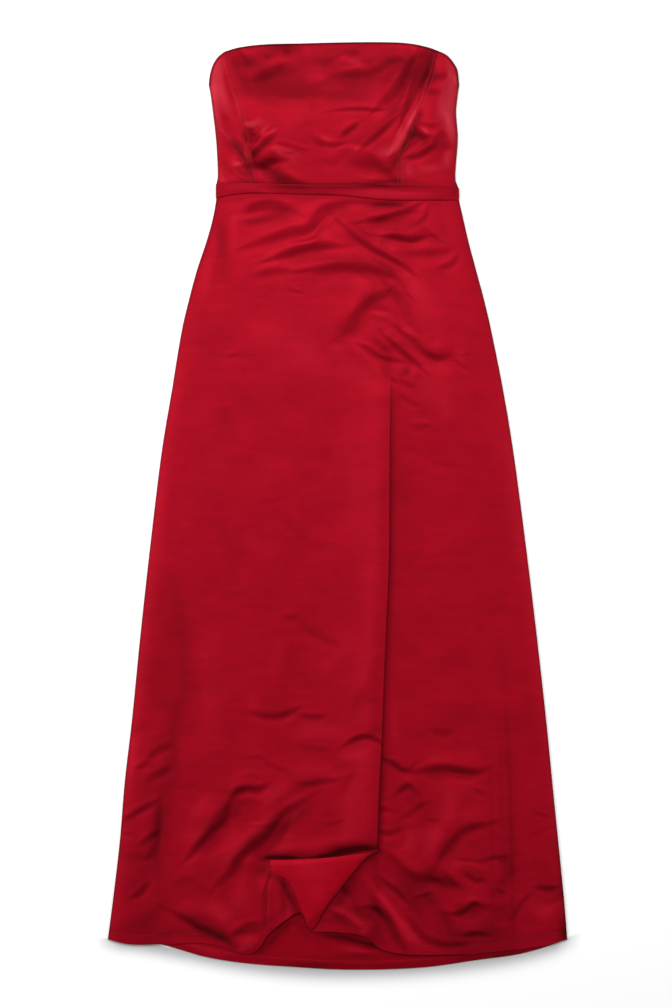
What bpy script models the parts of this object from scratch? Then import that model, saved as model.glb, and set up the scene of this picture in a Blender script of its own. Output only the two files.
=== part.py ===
# Strapless full-length satin dress lying flat on its back, in metres, +Z up.
# The neckline points to +Y and the hem to -Y. Tables give "across" from the centre line and
# "down" from the highest point of the neckline, both in millimetres.

import math
from collections import namedtuple

import bpy
import bmesh
from mathutils import Vector

for old in list(bpy.data.objects):
    bpy.data.objects.remove(old, do_unlink=True)

# Overall sizes
MM = 0.001
LENGTH = 1.400
TOP_Y = LENGTH / 2

# Cloth and seams
BACK_WALL = 0.0012
FRONT_WALL = 0.0015
SASH_WALL = 0.0012
SEAM_GAP = 0.0003
HALF_GAP = SEAM_GAP / 2 / MM
BACK_TOP = BACK_WALL
FRONT_UNDER = BACK_TOP + SEAM_GAP
FRONT_TOP = FRONT_UNDER + FRONT_WALL
SASH_CLEAR = 0.0005

# Loft of the front over the back
LOFT = namedtuple("Loft", "down height round_width")
LOFTS = (
    LOFT(0, 8.5, 52),
    LOFT(70, 13.0, 48),
    LOFT(130, 12.5, 44),
    LOFT(185, 7.0, 34),
    LOFT(225, 4.6, 26),
    LOFT(270, 3.9, 28),
    LOFT(420, 3.5, 26),
    LOFT(900, 3.0, 24),
    LOFT(1400, 2.6, 22),
)
LOFT_POWER = 0.72

# Slit: the left panel rides over the right one
LAP_RISE = 3.2
LAP_FADE = 26.0
LAP_HEAD_FADE = 60.0
LAP_START_DOWN = 440.0
LAP_FULL_DOWN = 525.0
ROLL_RISE = 2.6
ROLL_WIDTH = 30.0
ROLL_INSET = 0.35
ROLL_SHARPNESS = 2.2
ROLL_RUN = 200.0
CORNER_CLEAR = 0.0014
CORNER_BULGE = 2.0
CORNER_MIDDLE = (-25.0, 1262.0)
CORNER_BULGE_REACH = 45.0
CORNER_ROLL_GAP = 0.0005
CORNER_ROLL_WALL = 0.0018
TURN = namedtuple("Turn", "out fall")
CORNER_ROLL = (TURN(0.75, 0.12), TURN(1.0, 0.5), TURN(0.85, 1.0))

# Side seams, a row for each section
SECTION = namedtuple("Section", "down left right")
SECTIONS = (
    SECTION(62.1, -194.5, 183.9),
    SECTION(78.7, -191.5, 181.6),
    SECTION(102.9, -188.4, 179.4),
    SECTION(142.3, -183.9, 182.0),
    SECTION(178.6, -181.6, 179.4),
    SECTION(202.8, -181.0, 178.4),
    SECTION(225.0, -181.4, 181.0),
    SECTION(263.4, -188.4, 189.9),
    SECTION(296.6, -197.5, 197.5),
    SECTION(342.1, -212.6, 209.6),
    SECTION(387.5, -224.8, 221.7),
    SECTION(432.9, -235.4, 232.3),
    SECTION(523.7, -250.5, 250.5),
    SECTION(614.5, -265.6, 265.6),
    SECTION(750.7, -282.3, 283.8),
    SECTION(886.9, -297.4, 300.4),
    SECTION(1023.1, -311.0, 315.6),
    SECTION(1113.9, -321.6, 324.6),
    SECTION(1204.8, -329.2, 333.7),
    SECTION(1295.6, -339.8, 342.8),
    SECTION(1354.0, -347.4, 347.4),
)

# Seams and edges, a row for each point
SPOT = namedtuple("Spot", "across down")
NECK_LEFT = (
    SPOT(-194.5, 62.1), SPOT(-193.0, 48.4), SPOT(-188.4, 33.3), SPOT(-180.9, 21.9), SPOT(-170.3, 13.6),
)
NECK_CENTRE = (
    SPOT(-170.3, 13.6), SPOT(-147.6, 7.6), SPOT(-111.2, 3.0), SPOT(-56.8, 1.5), SPOT(3.8, 0.0),
    SPOT(88.5, 0.0), SPOT(124.9, 4.5), SPOT(151.3, 12.1),
)
NECK_RIGHT = (SPOT(151.3, 12.1), SPOT(164.2, 18.2), SPOT(173.3, 27.2), SPOT(180.9, 39.4), SPOT(183.9, 62.1))
NECK_BACK = (SPOT(-194.5, 62.1), SPOT(-147.6, 66.6), SPOT(-0.8, 74.2), SPOT(140.0, 65.1), SPOT(183.9, 62.1))
BUST_LEFT = (
    SPOT(-170.3, 13.6), SPOT(-162.7, 48.4), SPOT(-150.6, 87.8), SPOT(-140.0, 127.1),
    SPOT(-133.9, 169.5), SPOT(-127.9, 205.8), SPOT(-126.0, 224.0),
)
BUST_RIGHT = (
    SPOT(151.3, 12.1), SPOT(141.5, 48.4), SPOT(129.4, 81.7), SPOT(120.3, 109.0),
    SPOT(99.1, 160.4), SPOT(94.6, 180.6), SPOT(96.1, 226.5),
)
SASH_TOP = (
    SPOT(-183.9, 211.9), SPOT(-147.6, 210.4), SPOT(-102.2, 211.9), SPOT(-56.8, 213.4),
    SPOT(34.1, 213.4), SPOT(94.6, 216.4), SPOT(183.9, 217.9),
)
SASH_FOOT = (
    SPOT(-183.9, 233.8), SPOT(-147.6, 227.8), SPOT(-102.2, 226.7), SPOT(-56.8, 228.5),
    SPOT(3.8, 230.1), SPOT(64.3, 236.1), SPOT(124.9, 237.6), SPOT(183.9, 236.9),
)
WAIST_LEFT_DOWN = 223.0
WAIST_RIGHT_DOWN = 227.0
WAIST_LEFT = (SPOT(-181.4, 223.0), SPOT(-150.0, 223.4), SPOT(-126.0, 224.0))
WAIST_CENTRE = (SPOT(-126.0, 224.0), SPOT(-56.8, 221.7), SPOT(18.9, 223.2), SPOT(96.1, 226.5))
WAIST_RIGHT = (SPOT(96.1, 226.5), SPOT(140.0, 227.2), SPOT(181.0, 227.0))
SLIT = (
    SPOT(96.1, 226.5), SPOT(90.1, 281.5), SPOT(84.0, 372.3), SPOT(81.0, 455.6), SPOT(81.0, 520.6),
    SPOT(79.5, 584.2), SPOT(78.0, 781.0), SPOT(75.7, 856.6), SPOT(72.6, 962.6), SPOT(69.6, 1056.4),
    SPOT(66.7, 1106.4), SPOT(59.0, 1218.4),
)
LAP_EDGE = (
    SPOT(81.0, 520.6), SPOT(70.4, 584.2), SPOT(43.1, 690.2), SPOT(21.9, 811.2),
    SPOT(0.8, 992.9), SPOT(-20.4, 1174.5), SPOT(-40.1, 1341.0),
)
HEM_LEFT = (
    SPOT(-347.4, 1354.0), SPOT(-314.1, 1361.0), SPOT(-271.7, 1361.0), SPOT(-214.2, 1359.1),
    SPOT(-171.8, 1365.2), SPOT(-153.6, 1372.8), SPOT(-135.5, 1375.8), SPOT(-120.4, 1369.2),
    SPOT(-102.2, 1344.0), SPOT(-75.7, 1322.1), SPOT(-56.8, 1312.0), SPOT(-40.1, 1339.5),
)
FOLD_LINE = (
    SPOT(-40.1, 1339.5), SPOT(-11.4, 1301.0), SPOT(18.9, 1264.0), SPOT(43.1, 1236.5), SPOT(59.0, 1218.4),
)
HEM_RIGHT = (
    SPOT(-40.1, 1341.0), SPOT(-0.8, 1342.5), SPOT(28.0, 1345.5), SPOT(47.7, 1352.1), SPOT(62.8, 1367.2),
    SPOT(94.6, 1375.0), SPOT(155.1, 1376.7), SPOT(215.7, 1374.3), SPOT(306.5, 1363.7), SPOT(347.4, 1354.0),
)
HEM_BACK = (
    SPOT(-347.4, 1354.0), SPOT(-274.7, 1360.6), SPOT(-238.4, 1369.7), SPOT(-202.1, 1380.3),
    SPOT(-147.6, 1389.4), SPOT(-74.9, 1395.5), SPOT(15.9, 1400.0), SPOT(124.9, 1397.0),
    SPOT(215.7, 1384.9), SPOT(270.2, 1377.3), SPOT(306.5, 1368.2), SPOT(347.4, 1354.0),
)
CORNER_TOP = (
    SPOT(-101.3, 1235.0), SPOT(-56.8, 1232.8), SPOT(-2.3, 1229.9), SPOT(18.9, 1225.6),
    SPOT(37.1, 1224.4), SPOT(58.3, 1218.4),
)
CORNER_SIDE = (
    SPOT(-101.3, 1235.0), SPOT(-98.0, 1250.7), SPOT(-77.9, 1260.2), SPOT(-70.4, 1271.4),
    SPOT(-55.2, 1304.6), SPOT(-41.1, 1338.5),
)
ARM_DOWN = 62.1
HEM_SIDE_DOWN = 1354.0
SLIT_HEAD_DOWN = 520.6
ZIP_FOOT_DOWN = 420.0
ZIP_HALF_WIDTH = 0.004
HALF_STEPS = 24

# Largest folds: a path of three points, then the height of the fold and its half width in mm.
# A step is high on its neck side and low on its hem side, a ridge is high along its path.
FOLD = namedtuple("Fold", "kind x0 d0 x1 d1 x2 d2 rise width")
FOLDS = (
    FOLD("step", 119, 15, 86, 75, 66, 94, 4.2, 13),
    FOLD("step", 143, 14, 115, 75, 100, 112, 4.2, 13),
    FOLD("step", -163, 145, -141, 170, -127, 206, 4.5, 11),
    FOLD("step", -137, 183, -108, 176, -85, 170, 4.8, 12),
    FOLD("step", 121, 115, 106, 148, 90, 175, 3.8, 12),
    FOLD("step", -138, 251, -95, 242, -70, 252, 2.6, 12),
    FOLD("step", -123, 303, -48, 280, -10, 245, 3.5, 12),
    FOLD("step", -97, 325, -40, 308, 3, 305, 4.5, 12),
    FOLD("step", 18, 282, 60, 315, 113, 343, 3.8, 12),
    FOLD("step", -40, 337, 50, 333, 100, 372, 3.8, 12),
    FOLD("step", 42, 269, 87, 262, 125, 240, 3.8, 11),
    FOLD("step", 65, 290, 100, 294, 135, 291, 4.2, 11),
    FOLD("step", 0, 442, 28, 416, 70, 380, 4.8, 13),
    FOLD("step", 72, 362, 100, 395, 125, 442, 3.2, 12),
    FOLD("step", 90, 425, 135, 470, 178, 470, 4.2, 11),
    FOLD("step", 78, 447, 100, 470, 125, 490, 4.2, 11),
    FOLD("ridge", -105, 1218, -30, 1205, 40, 1196, 5.8, 15),
    FOLD("step", -110, 1150, -95, 1180, -160, 1265, 5.4, 15),
    FOLD("step", -165, 1155, -185, 1195, -220, 1225, 4.5, 13),
    FOLD("step", -245, 1313, -195, 1340, -150, 1368, 4.2, 13),
    FOLD("ridge", -107, 1262, -102, 1300, -106, 1330, 2.8, 10),
    FOLD("step", 125, 1098, 165, 1097, 220, 1100, 4.2, 12),
    FOLD("step", 226, 1178, 180, 1195, 150, 1235, 5.1, 13),
    FOLD("step", 70, 1222, 105, 1258, 155, 1262, 5.4, 13),
    FOLD("ridge", 64, 1262, 88, 1310, 118, 1366, 4.6, 14),
    FOLD("ridge", 0, 1300, 20, 1325, 45, 1342, 3.4, 12),
    FOLD("step", 175, 1313, 195, 1310, 218, 1304, 3.8, 11),
)
FOLD_STEPS = 6
FOLD_REACH = 3.2
FOLD_FADE_SHARE = 0.35
SASH_CALM = 16.0
SASH_CALM_FADE = 16.0
SIDE_CALM = 14.0

# Columns beside a side seam, in mm from it, and the steps of each grid as (share reached, steps)
SIDE_COLUMNS = (0.0, 3.0, 8.0, 16.0, 27.0)
BODICE_ROWS = ((0.03, 1), (1.0, 16))
BODICE_COLUMNS = ((1.0, 20),)
BODICE_SIDE_WIDTH = 58.0
SKIRT_ROWS = ((0.02, 1), (0.24, 19), (0.72, 9), (0.80, 4), (0.99, 17), (1.0, 1))
SKIRT_LEFT_WIDTH = 300.0
SKIRT_RIGHT_WIDTH = 260.0
CORNER_ROWS = ((0.92, 10),)
CORNER_COLUMNS = ((1.0, 12),)
SASH_ROWS = ((1.0, 4),)
SASH_COLUMNS = ((0.02, 3), (0.08, 4), (0.92, 22), (0.98, 4), (1.0, 3))
BACK_COLUMNS = ((1.0, 14),)
BACK_BODICE_ROWS = ((1.0, 8),)
BACK_SKIRT_ROWS = ((0.2, 6), (0.95, 10), (1.0, 2))


# Colours and roughness
CLOTH = namedtuple("Cloth", "colour roughness")
SATIN = CLOTH((0.376, 0.004, 0.016, 1.0), 0.4)
BAND = CLOTH((0.30, 0.004, 0.011, 1.0), 0.42)
REVERSE = CLOTH((0.23, 0.003, 0.009, 1.0), 0.5)
CLOTHS = {
    "other": SATIN,
    "waist_sash_front": BAND,
    "waist_sash_back_left": BAND,
    "waist_sash_back_right": BAND,
    "slit_corner": CLOTH((0.35, 0.005, 0.013, 1.0), 0.5),
    "skirt_back_left": REVERSE,
    "skirt_back_right": REVERSE,
    "centre_back_zip": CLOTH((0.20, 0.003, 0.008, 1.0), 0.6),
}


def smooth(value):
    value = max(0.0, min(1.0, value))
    return value * value * (3.0 - 2.0 * value)


def hermite(a, b, tangent_a, tangent_b, t):
    square = t * t
    cube = square * t
    start = (2 * cube - 3 * square + 1) * a + (cube - 2 * square + t) * tangent_a
    return start + (3 * square - 2 * cube) * b + (cube - square) * tangent_b


# Smooth value of one column of a table at a given depth
def table_value(rows, down, column):
    if down <= rows[0].down:
        return getattr(rows[0], column)
    for i in range(len(rows) - 1):
        a = rows[i]
        b = rows[i + 1]
        if down > b.down:
            continue
        before = rows[max(i - 1, 0)]
        after = rows[min(i + 2, len(rows) - 1)]
        span = b.down - a.down
        slope_a = (getattr(b, column) - getattr(before, column)) / (b.down - before.down)
        slope_b = (getattr(after, column) - getattr(a, column)) / (after.down - a.down)
        share = (down - a.down) / span
        return hermite(getattr(a, column), getattr(b, column), slope_a * span, slope_b * span, share)
    return getattr(rows[-1], column)


# A line of plan points, measured along its length from 0 to 1
class Path:
    def __init__(self, points):
        self.points = [Vector(point) for point in points]
        self.marks = [0.0]
        for a, b in zip(self.points, self.points[1:]):
            self.marks.append(self.marks[-1] + (b - a).length)
        self.length = self.marks[-1]

    def at(self, share):
        target = max(0.0, min(1.0, share)) * self.length
        i = 0
        while i < len(self.points) - 2 and target > self.marks[i + 1]:
            i += 1
        span = self.marks[i + 1] - self.marks[i]
        return self.points[i].lerp(self.points[i + 1], (target - self.marks[i]) / span)

    # Across at a given depth, for a line that runs down the dress
    def across_at(self, down):
        for a, b in zip(self.points, self.points[1:]):
            if a[1] <= down < b[1]:
                return a[0] + (b[0] - a[0]) * (down - a[1]) / (b[1] - a[1])
        return self.points[0][0] if down < self.points[0][1] else self.points[-1][0]


# Smooth line through a table of spots
def curve(spots, steps=8):
    points = []
    last = len(spots) - 1
    for i in range(last):
        a = Vector(spots[i])
        b = Vector(spots[i + 1])
        before = Vector(spots[max(i - 1, 0)])
        after = Vector(spots[min(i + 2, last)])
        reach = (b - a).length
        tangent_a = (b - before) * (reach / (reach + (a - before).length))
        tangent_b = (after - a) * (reach / (reach + (after - b).length))
        points += [hermite(a, b, tangent_a, tangent_b, k / steps) for k in range(steps)]
    return Path(points + [Vector(spots[-1])])


def joined(*paths):
    points = list(paths[0].points)
    for path in paths[1:]:
        points += path.points[1:]
    return Path(points)


# Side seam between two depths, through the section table
def side_path(column, top, foot):
    spots = [SPOT(table_value(SECTIONS, top, column), top)]
    spots += [SPOT(getattr(row, column), row.down) for row in SECTIONS if top + 6 < row.down < foot - 6]
    spots.append(SPOT(table_value(SECTIONS, foot, column), foot))
    return curve(spots)


# One fold as a height over the plan, fading out at both ends of its path
class Fold:
    def __init__(self, row):
        self.row = row
        self.path = curve((SPOT(row.x0, row.d0), SPOT(row.x1, row.d1), SPOT(row.x2, row.d2)), FOLD_STEPS)
        self.runs_left = row.x2 < row.x0
        across = [point[0] for point in self.path.points]
        down = [point[1] for point in self.path.points]
        reach = row.width * FOLD_REACH
        self.low = (min(across) - reach, min(down) - reach)
        self.high = (max(across) + reach, max(down) + reach)

    # Distance from the path, signed below 0 on its neck side, and the length reached along it
    def nearest(self, point):
        best = None
        for i, (a, b) in enumerate(zip(self.path.points, self.path.points[1:])):
            run = b - a
            share = max(0.0, min(1.0, (point - a).dot(run) / run.length_squared))
            away = point - a.lerp(b, share)
            if best is None or away.length < abs(best[0]):
                side = away[1] * run[0] - away[0] * run[1]
                if self.runs_left:
                    side = -side
                best = (math.copysign(away.length, side), self.path.marks[i] + share * run.length)
        return best

    def height(self, across, down):
        if not (self.low[0] < across < self.high[0] and self.low[1] < down < self.high[1]):
            return 0.0
        distance, along = self.nearest(Vector((across, down)))
        from_end = min(along, self.path.length - along)
        fade = smooth(from_end / (FOLD_FADE_SHARE * self.path.length) + 0.25)
        q = distance / self.row.width
        if self.row.kind == "ridge":
            return self.row.rise * fade * math.exp(-q * q)
        return -0.5 * self.row.rise * fade * q * math.exp(0.5 - 0.5 * q * q)


FOLD_FORMS = [Fold(row) for row in FOLDS]
SLIT_PATH = curve(SLIT)
LAP_PATH = curve(LAP_EDGE)
FOLD_PATH = curve(FOLD_LINE)


# Outer height of the front in mm, shared by the bodice and the skirt, so that seams meet
def front_height(across, down):
    left = table_value(SECTIONS, down, "left")
    right = table_value(SECTIONS, down, "right")
    height = table_value(LOFTS, down, "height")
    width = table_value(LOFTS, down, "round_width")
    inside = max(0.0, min(across - left, right - across))
    share = min(1.0, inside / width)
    loft = height * (1.0 - (1.0 - share) ** 2) ** LOFT_POWER
    waist = WAIST_LEFT_DOWN + (WAIST_RIGHT_DOWN - WAIST_LEFT_DOWN) * smooth((across - left) / (right - left))
    calm = smooth((abs(down - waist) - SASH_CALM) / SASH_CALM_FADE)
    folds = sum(form.height(across, down) for form in FOLD_FORMS)
    return FRONT_TOP / MM + max(0.0, loft + folds * calm * smooth(inside / SIDE_CALM))


# The left skirt panel rises where it laps the right one and is rolled along the slit
def left_panel_height(across, down):
    opened = smooth((down - LAP_START_DOWN) / (LAP_FULL_DOWN - LAP_START_DOWN))
    fade = LAP_FADE if down > SLIT_HEAD_DOWN else LAP_HEAD_FADE
    over = smooth((across - LAP_PATH.across_at(down)) / fade + 1.0)
    inset = (SLIT_PATH.across_at(down) - across) / ROLL_WIDTH
    roll = ROLL_RISE * math.exp(-ROLL_SHARPNESS * (inset - ROLL_INSET) ** 2)
    grown = smooth((down - LAP_START_DOWN) / ROLL_RUN)
    return front_height(across, down) + opened * (LAP_RISE * over + roll * grown)


# The turned corner lies on the left panel and swells a little in its middle
def corner_height(across, down):
    away = (Vector((across, down)) - Vector(CORNER_MIDDLE)).length / CORNER_BULGE_REACH
    clear = (CORNER_CLEAR + FRONT_WALL) / MM
    return left_panel_height(across, down) + clear + CORNER_BULGE * math.exp(-away * away)


# The sash lies on the front and holds its height past the side seams
def sash_base(across, down):
    left = table_value(SECTIONS, down, "left")
    right = table_value(SECTIONS, down, "right")
    return front_height(max(left, min(right, across)), down)


def to_space(spot, height):
    return Vector((spot[0] * MM, TOP_Y - spot[1] * MM, height * MM))


def surface_normal(height_of, spot, step=1.5):
    across, down = spot
    slope_x = (height_of(across + step, down) - height_of(across - step, down)) / (2 * step)
    slope_y = (height_of(across, down - step) - height_of(across, down + step)) / (2 * step)
    return Vector((-slope_x, -slope_y, 1.0)).normalized()


# Shares from 0 to 1 out of spans of (share reached, steps)
def stations(spans):
    values = [0.0]
    for end, steps in spans:
        start = values[-1]
        values += [start + (end - start) * (k + 1) / steps for k in range(steps)]
    return values


# Shares that are close together beside a side seam and even further in
def from_side(width, count):
    near = [step / width for step in SIDE_COLUMNS]
    return near + [near[-1] + (1 - near[-1]) * (k + 1) / count for k in range(count)]


def to_side(width, count):
    return [1.0 - share for share in reversed(from_side(width, count))]


# Plan points of a panel between its four edges, in rows from top to foot
def panel_plan(top, foot, left, right, columns, rows):
    plan = []
    for v in rows:
        row = []
        for u in columns:
            edges = top.at(u) * (1 - v) + foot.at(u) * v + left.at(v) * (1 - u) + right.at(v) * u
            high = top.at(0.0) * (1 - u) + top.at(1.0) * u
            low = foot.at(0.0) * (1 - u) + foot.at(1.0) * u
            row.append(edges - high * (1 - v) - low * v)
        plan.append(row)
    return plan


# Plan moved in at its edges by the given gaps in mm
def trimmed(plan, left=0.0, right=0.0, top=0.0, foot=0.0):
    rows = [[spot.copy() for spot in row] for row in plan]
    for i, row in enumerate(plan):
        rows[i][0] += (row[1] - row[0]).normalized() * left
        rows[i][-1] += (row[-2] - row[-1]).normalized() * right
    for j in range(len(plan[0])):
        rows[0][j] += (plan[1][j] - plan[0][j]).normalized() * top
        rows[-1][j] += (plan[-2][j] - plan[-1][j]).normalized() * foot
    return rows


# Closed wall between two grids of points with the same rows and columns
def wall_object(name, outer, inner):
    build = bmesh.new()
    tops = [[build.verts.new(point) for point in row] for row in outer]
    lows = [[build.verts.new(point) for point in row] for row in inner]
    last_row = len(outer) - 1
    last = len(outer[0]) - 1
    for i in range(last_row):
        for j in range(last):
            build.faces.new((tops[i][j], tops[i + 1][j], tops[i + 1][j + 1], tops[i][j + 1]))
            build.faces.new((lows[i][j], lows[i][j + 1], lows[i + 1][j + 1], lows[i + 1][j]))
    ring = [(0, j) for j in range(last)] + [(i, last) for i in range(last_row)]
    ring += [(last_row, j) for j in range(last, 0, -1)] + [(i, 0) for i in range(last_row, 0, -1)]
    for (i, j), (k, m) in zip(ring, ring[1:] + ring[:1]):
        build.faces.new((tops[i][j], tops[k][m], lows[k][m], lows[i][j]))
    bmesh.ops.recalc_face_normals(build, faces=build.faces)
    bmesh.ops.triangulate(build, faces=build.faces, quad_method="SHORT_EDGE", ngon_method="BEAUTY")
    mesh = bpy.data.meshes.new(name)
    build.to_mesh(mesh)
    build.free()
    mesh.shade_smooth()
    mesh.set_sharp_from_angle(angle=math.radians(40))
    item = bpy.data.objects.new(name, mesh)
    bpy.context.scene.collection.objects.link(item)
    return item


# Outer and inner points of a wall: the base surface moved out by "low" and by "high"
def wall_grids(plan, height_of, low, high):
    outer = []
    inner = []
    for row in plan:
        base = [to_space(spot, height_of(spot[0], spot[1])) for spot in row]
        normals = [surface_normal(height_of, spot) for spot in row]
        outer.append([point + normal * high for point, normal in zip(base, normals)])
        inner.append([point + normal * low for point, normal in zip(base, normals)])
    return outer, inner


def front_panel(name, plan, height_of):
    outer, inner = wall_grids(plan, height_of, -FRONT_WALL, 0.0)
    return wall_object(name, outer, inner)


def back_panel(name, plan):
    outer = [[to_space(spot, BACK_WALL / MM) for spot in row] for row in plan]
    inner = [[to_space(spot, 0.0) for spot in row] for row in plan]
    return wall_object(name, outer, inner)


def build_bodice_front():
    rows = stations(BODICE_ROWS)
    bust_left = curve(BUST_LEFT)
    bust_right = curve(BUST_RIGHT)
    plan = panel_plan(
        curve(NECK_CENTRE), curve(WAIST_CENTRE), bust_left, bust_right, stations(BODICE_COLUMNS), rows
    )
    plan = trimmed(plan, left=HALF_GAP, right=HALF_GAP, foot=HALF_GAP)
    front_panel("bodice_front_centre", plan, front_height)

    side = side_path("left", ARM_DOWN, WAIST_LEFT_DOWN)
    columns = from_side(BODICE_SIDE_WIDTH, 3)
    plan = panel_plan(curve(NECK_LEFT), curve(WAIST_LEFT), side, bust_left, columns, rows)
    plan = trimmed(plan, right=HALF_GAP, foot=HALF_GAP)
    front_panel("bodice_front_left", plan, front_height)

    side = side_path("right", ARM_DOWN, WAIST_RIGHT_DOWN)
    columns = to_side(BODICE_SIDE_WIDTH, 3)
    plan = panel_plan(curve(NECK_RIGHT), curve(WAIST_RIGHT), bust_right, side, columns, rows)
    plan = trimmed(plan, left=HALF_GAP, foot=HALF_GAP)
    front_panel("bodice_front_right", plan, front_height)


def build_skirt_front():
    rows = stations(SKIRT_ROWS)
    waist = curve(WAIST_LEFT + WAIST_CENTRE[1:])
    foot = joined(curve(HEM_LEFT), FOLD_PATH)
    side = side_path("left", WAIST_LEFT_DOWN, HEM_SIDE_DOWN)
    plan = panel_plan(waist, foot, side, SLIT_PATH, from_side(SKIRT_LEFT_WIDTH, 18), rows)
    plan = trimmed(plan, right=HALF_GAP, top=HALF_GAP)
    front_panel("skirt_front_left", plan, left_panel_height)

    head = curve([spot for spot in SLIT if spot.down <= SLIT_HEAD_DOWN])
    side = side_path("right", WAIST_RIGHT_DOWN, HEM_SIDE_DOWN)
    columns = to_side(SKIRT_RIGHT_WIDTH, 12)
    plan = panel_plan(curve(WAIST_RIGHT), curve(HEM_RIGHT), joined(head, LAP_PATH), side, columns, rows)
    plan = trimmed(plan, left=HALF_GAP, top=HALF_GAP)
    front_panel("skirt_front_right", plan, front_height)


# Triangle from its top edge to the foot of the fold line, rolled down over the panel at the fold
def build_slit_corner():
    top = curve(CORNER_TOP)
    side = curve(CORNER_SIDE)
    fold = curve(tuple(reversed(FOLD_LINE)))
    plan = []
    for v in stations(CORNER_ROWS):
        row = []
        for u in stations(CORNER_COLUMNS):
            bow = top.at(u) - top.at(0.0).lerp(top.at(1.0), u)
            row.append(side.at(v).lerp(fold.at(v), u) + bow * (1 - v))
        plan.append(row)
    outer, inner = wall_grids(plan, corner_height, -FRONT_WALL, 0.0)
    for row, high, low in zip(plan, outer, inner):
        run = (row[-1] - row[-2]).normalized()
        away = Vector((run[0], -run[1], 0.0))
        panel_foot = left_panel_height(row[-1][0], row[-1][1]) * MM - FRONT_WALL
        brow = high[-1].z
        seat = low[-1].z
        base = Vector((high[-1].x, high[-1].y, 0.0))
        for turn in CORNER_ROLL:
            outward = CORNER_ROLL_GAP + CORNER_ROLL_WALL * turn.out
            high_z = brow + (panel_foot - brow) * turn.fall
            low_z = seat + (panel_foot - seat) * turn.fall
            high.append(base + away * outward + Vector((0.0, 0.0, high_z)))
            low.append(base + away * CORNER_ROLL_GAP + Vector((0.0, 0.0, low_z)))
    wall_object("slit_corner", outer, inner)


def build_sash_front():
    top = curve(SASH_TOP)
    foot = curve(SASH_FOOT)
    left = Path((SASH_TOP[0], SASH_FOOT[0]))
    right = Path((SASH_TOP[-1], SASH_FOOT[-1]))
    plan = panel_plan(top, foot, left, right, stations(SASH_COLUMNS), stations(SASH_ROWS))
    outer, inner = wall_grids(plan, sash_base, SASH_CLEAR, SASH_CLEAR + SASH_WALL)
    wall_object("waist_sash_front", outer, inner)


# Part of a line that crosses the centre, on one side of it
def half_of(path, side):
    low = 0.0
    high = 1.0
    for _ in range(40):
        middle = (low + high) / 2
        if path.at(middle)[0] < 0.0:
            low = middle
        else:
            high = middle
    start, end = (0.0, middle) if side == "left" else (middle, 1.0)
    return Path([path.at(start + (end - start) * k / HALF_STEPS) for k in range(HALF_STEPS + 1)])


# Plan of one back half between two lines that cross the centre
def back_plan(top, foot, side, columns, rows):
    top_half = half_of(top, side)
    foot_half = half_of(foot, side)
    outer_end = 0 if side == "left" else -1
    inner_end = -1 if side == "left" else 0
    top_spot = top_half.points[outer_end]
    foot_spot = foot_half.points[outer_end]
    seam = side_path(side, top_spot[1], foot_spot[1]).points
    outside = Path([top_spot] + seam[1:-1] + [foot_spot])
    middle = Path((top_half.points[inner_end], foot_half.points[inner_end]))
    left, right = (outside, middle) if side == "left" else (middle, outside)
    return panel_plan(top_half, foot_half, left, right, stations(columns), stations(rows))


# Flat walls side by side, split at the centre by the zip and across by the sash
def build_back():
    zip_inset = ZIP_HALF_WIDTH / MM + 2 * HALF_GAP
    sash_top = curve(SASH_TOP)
    sash_foot = curve(SASH_FOOT)
    neck = curve(NECK_BACK)
    zip_foot = ZIP_FOOT_DOWN
    for side, centre in (("left", "right"), ("right", "left")):
        plan = back_plan(neck, sash_top, side, BACK_COLUMNS, BACK_BODICE_ROWS)
        back_panel("bodice_back_" + side, trimmed(plan, foot=HALF_GAP, **{centre: zip_inset}))
        plan = back_plan(sash_top, sash_foot, side, BACK_COLUMNS, ((1.0, 1),))
        plan = trimmed(plan, top=HALF_GAP, foot=HALF_GAP, **{centre: zip_inset})
        back_panel("waist_sash_back_" + side, plan)
        plan = back_plan(sash_foot, curve(HEM_BACK), side, BACK_COLUMNS, BACK_SKIRT_ROWS)
        plan = trimmed(plan, top=3 * HALF_GAP)
        beside_zip = []
        for row in plan:
            edge = row[-1] if side == "left" else row[0]
            inset = HALF_GAP
            if edge[1] <= ZIP_FOOT_DOWN:
                inset = zip_inset
                beside_zip.append(edge[1])
            edge[0] += -inset if side == "left" else inset
        zip_foot = min(zip_foot, max(beside_zip))
        back_panel("skirt_back_" + side, plan)
    zip_top = half_of(neck, "left").points[-1][1]
    half = ZIP_HALF_WIDTH / MM
    depths = [zip_top + (zip_foot - zip_top) * k / 4 for k in range(5)]
    back_panel("centre_back_zip", [[Vector((-half, down)), Vector((half, down))] for down in depths])


def add_material(item, colour, roughness):
    made = bpy.data.materials.new(item.name + "_cloth")
    made.use_nodes = True
    shader = made.node_tree.nodes["Principled BSDF"]
    shader.inputs["Base Color"].default_value = colour
    shader.inputs["Roughness"].default_value = roughness
    shader.inputs["Metallic"].default_value = 0.0
    item.data.materials.append(made)


build_bodice_front()
build_skirt_front()
build_slit_corner()
build_sash_front()
build_back()
for item in bpy.data.objects:
    cloth = CLOTHS.get(item.name, CLOTHS["other"])
    add_material(item, cloth.colour, cloth.roughness)
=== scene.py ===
# Strapless satin dress laid flat on a pale floor, seen straight from above.
# Plan points are (across, down) in mm: from the centre line, and from the top of the neckline.
# Heights are in mm over the floor.
import math

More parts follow.
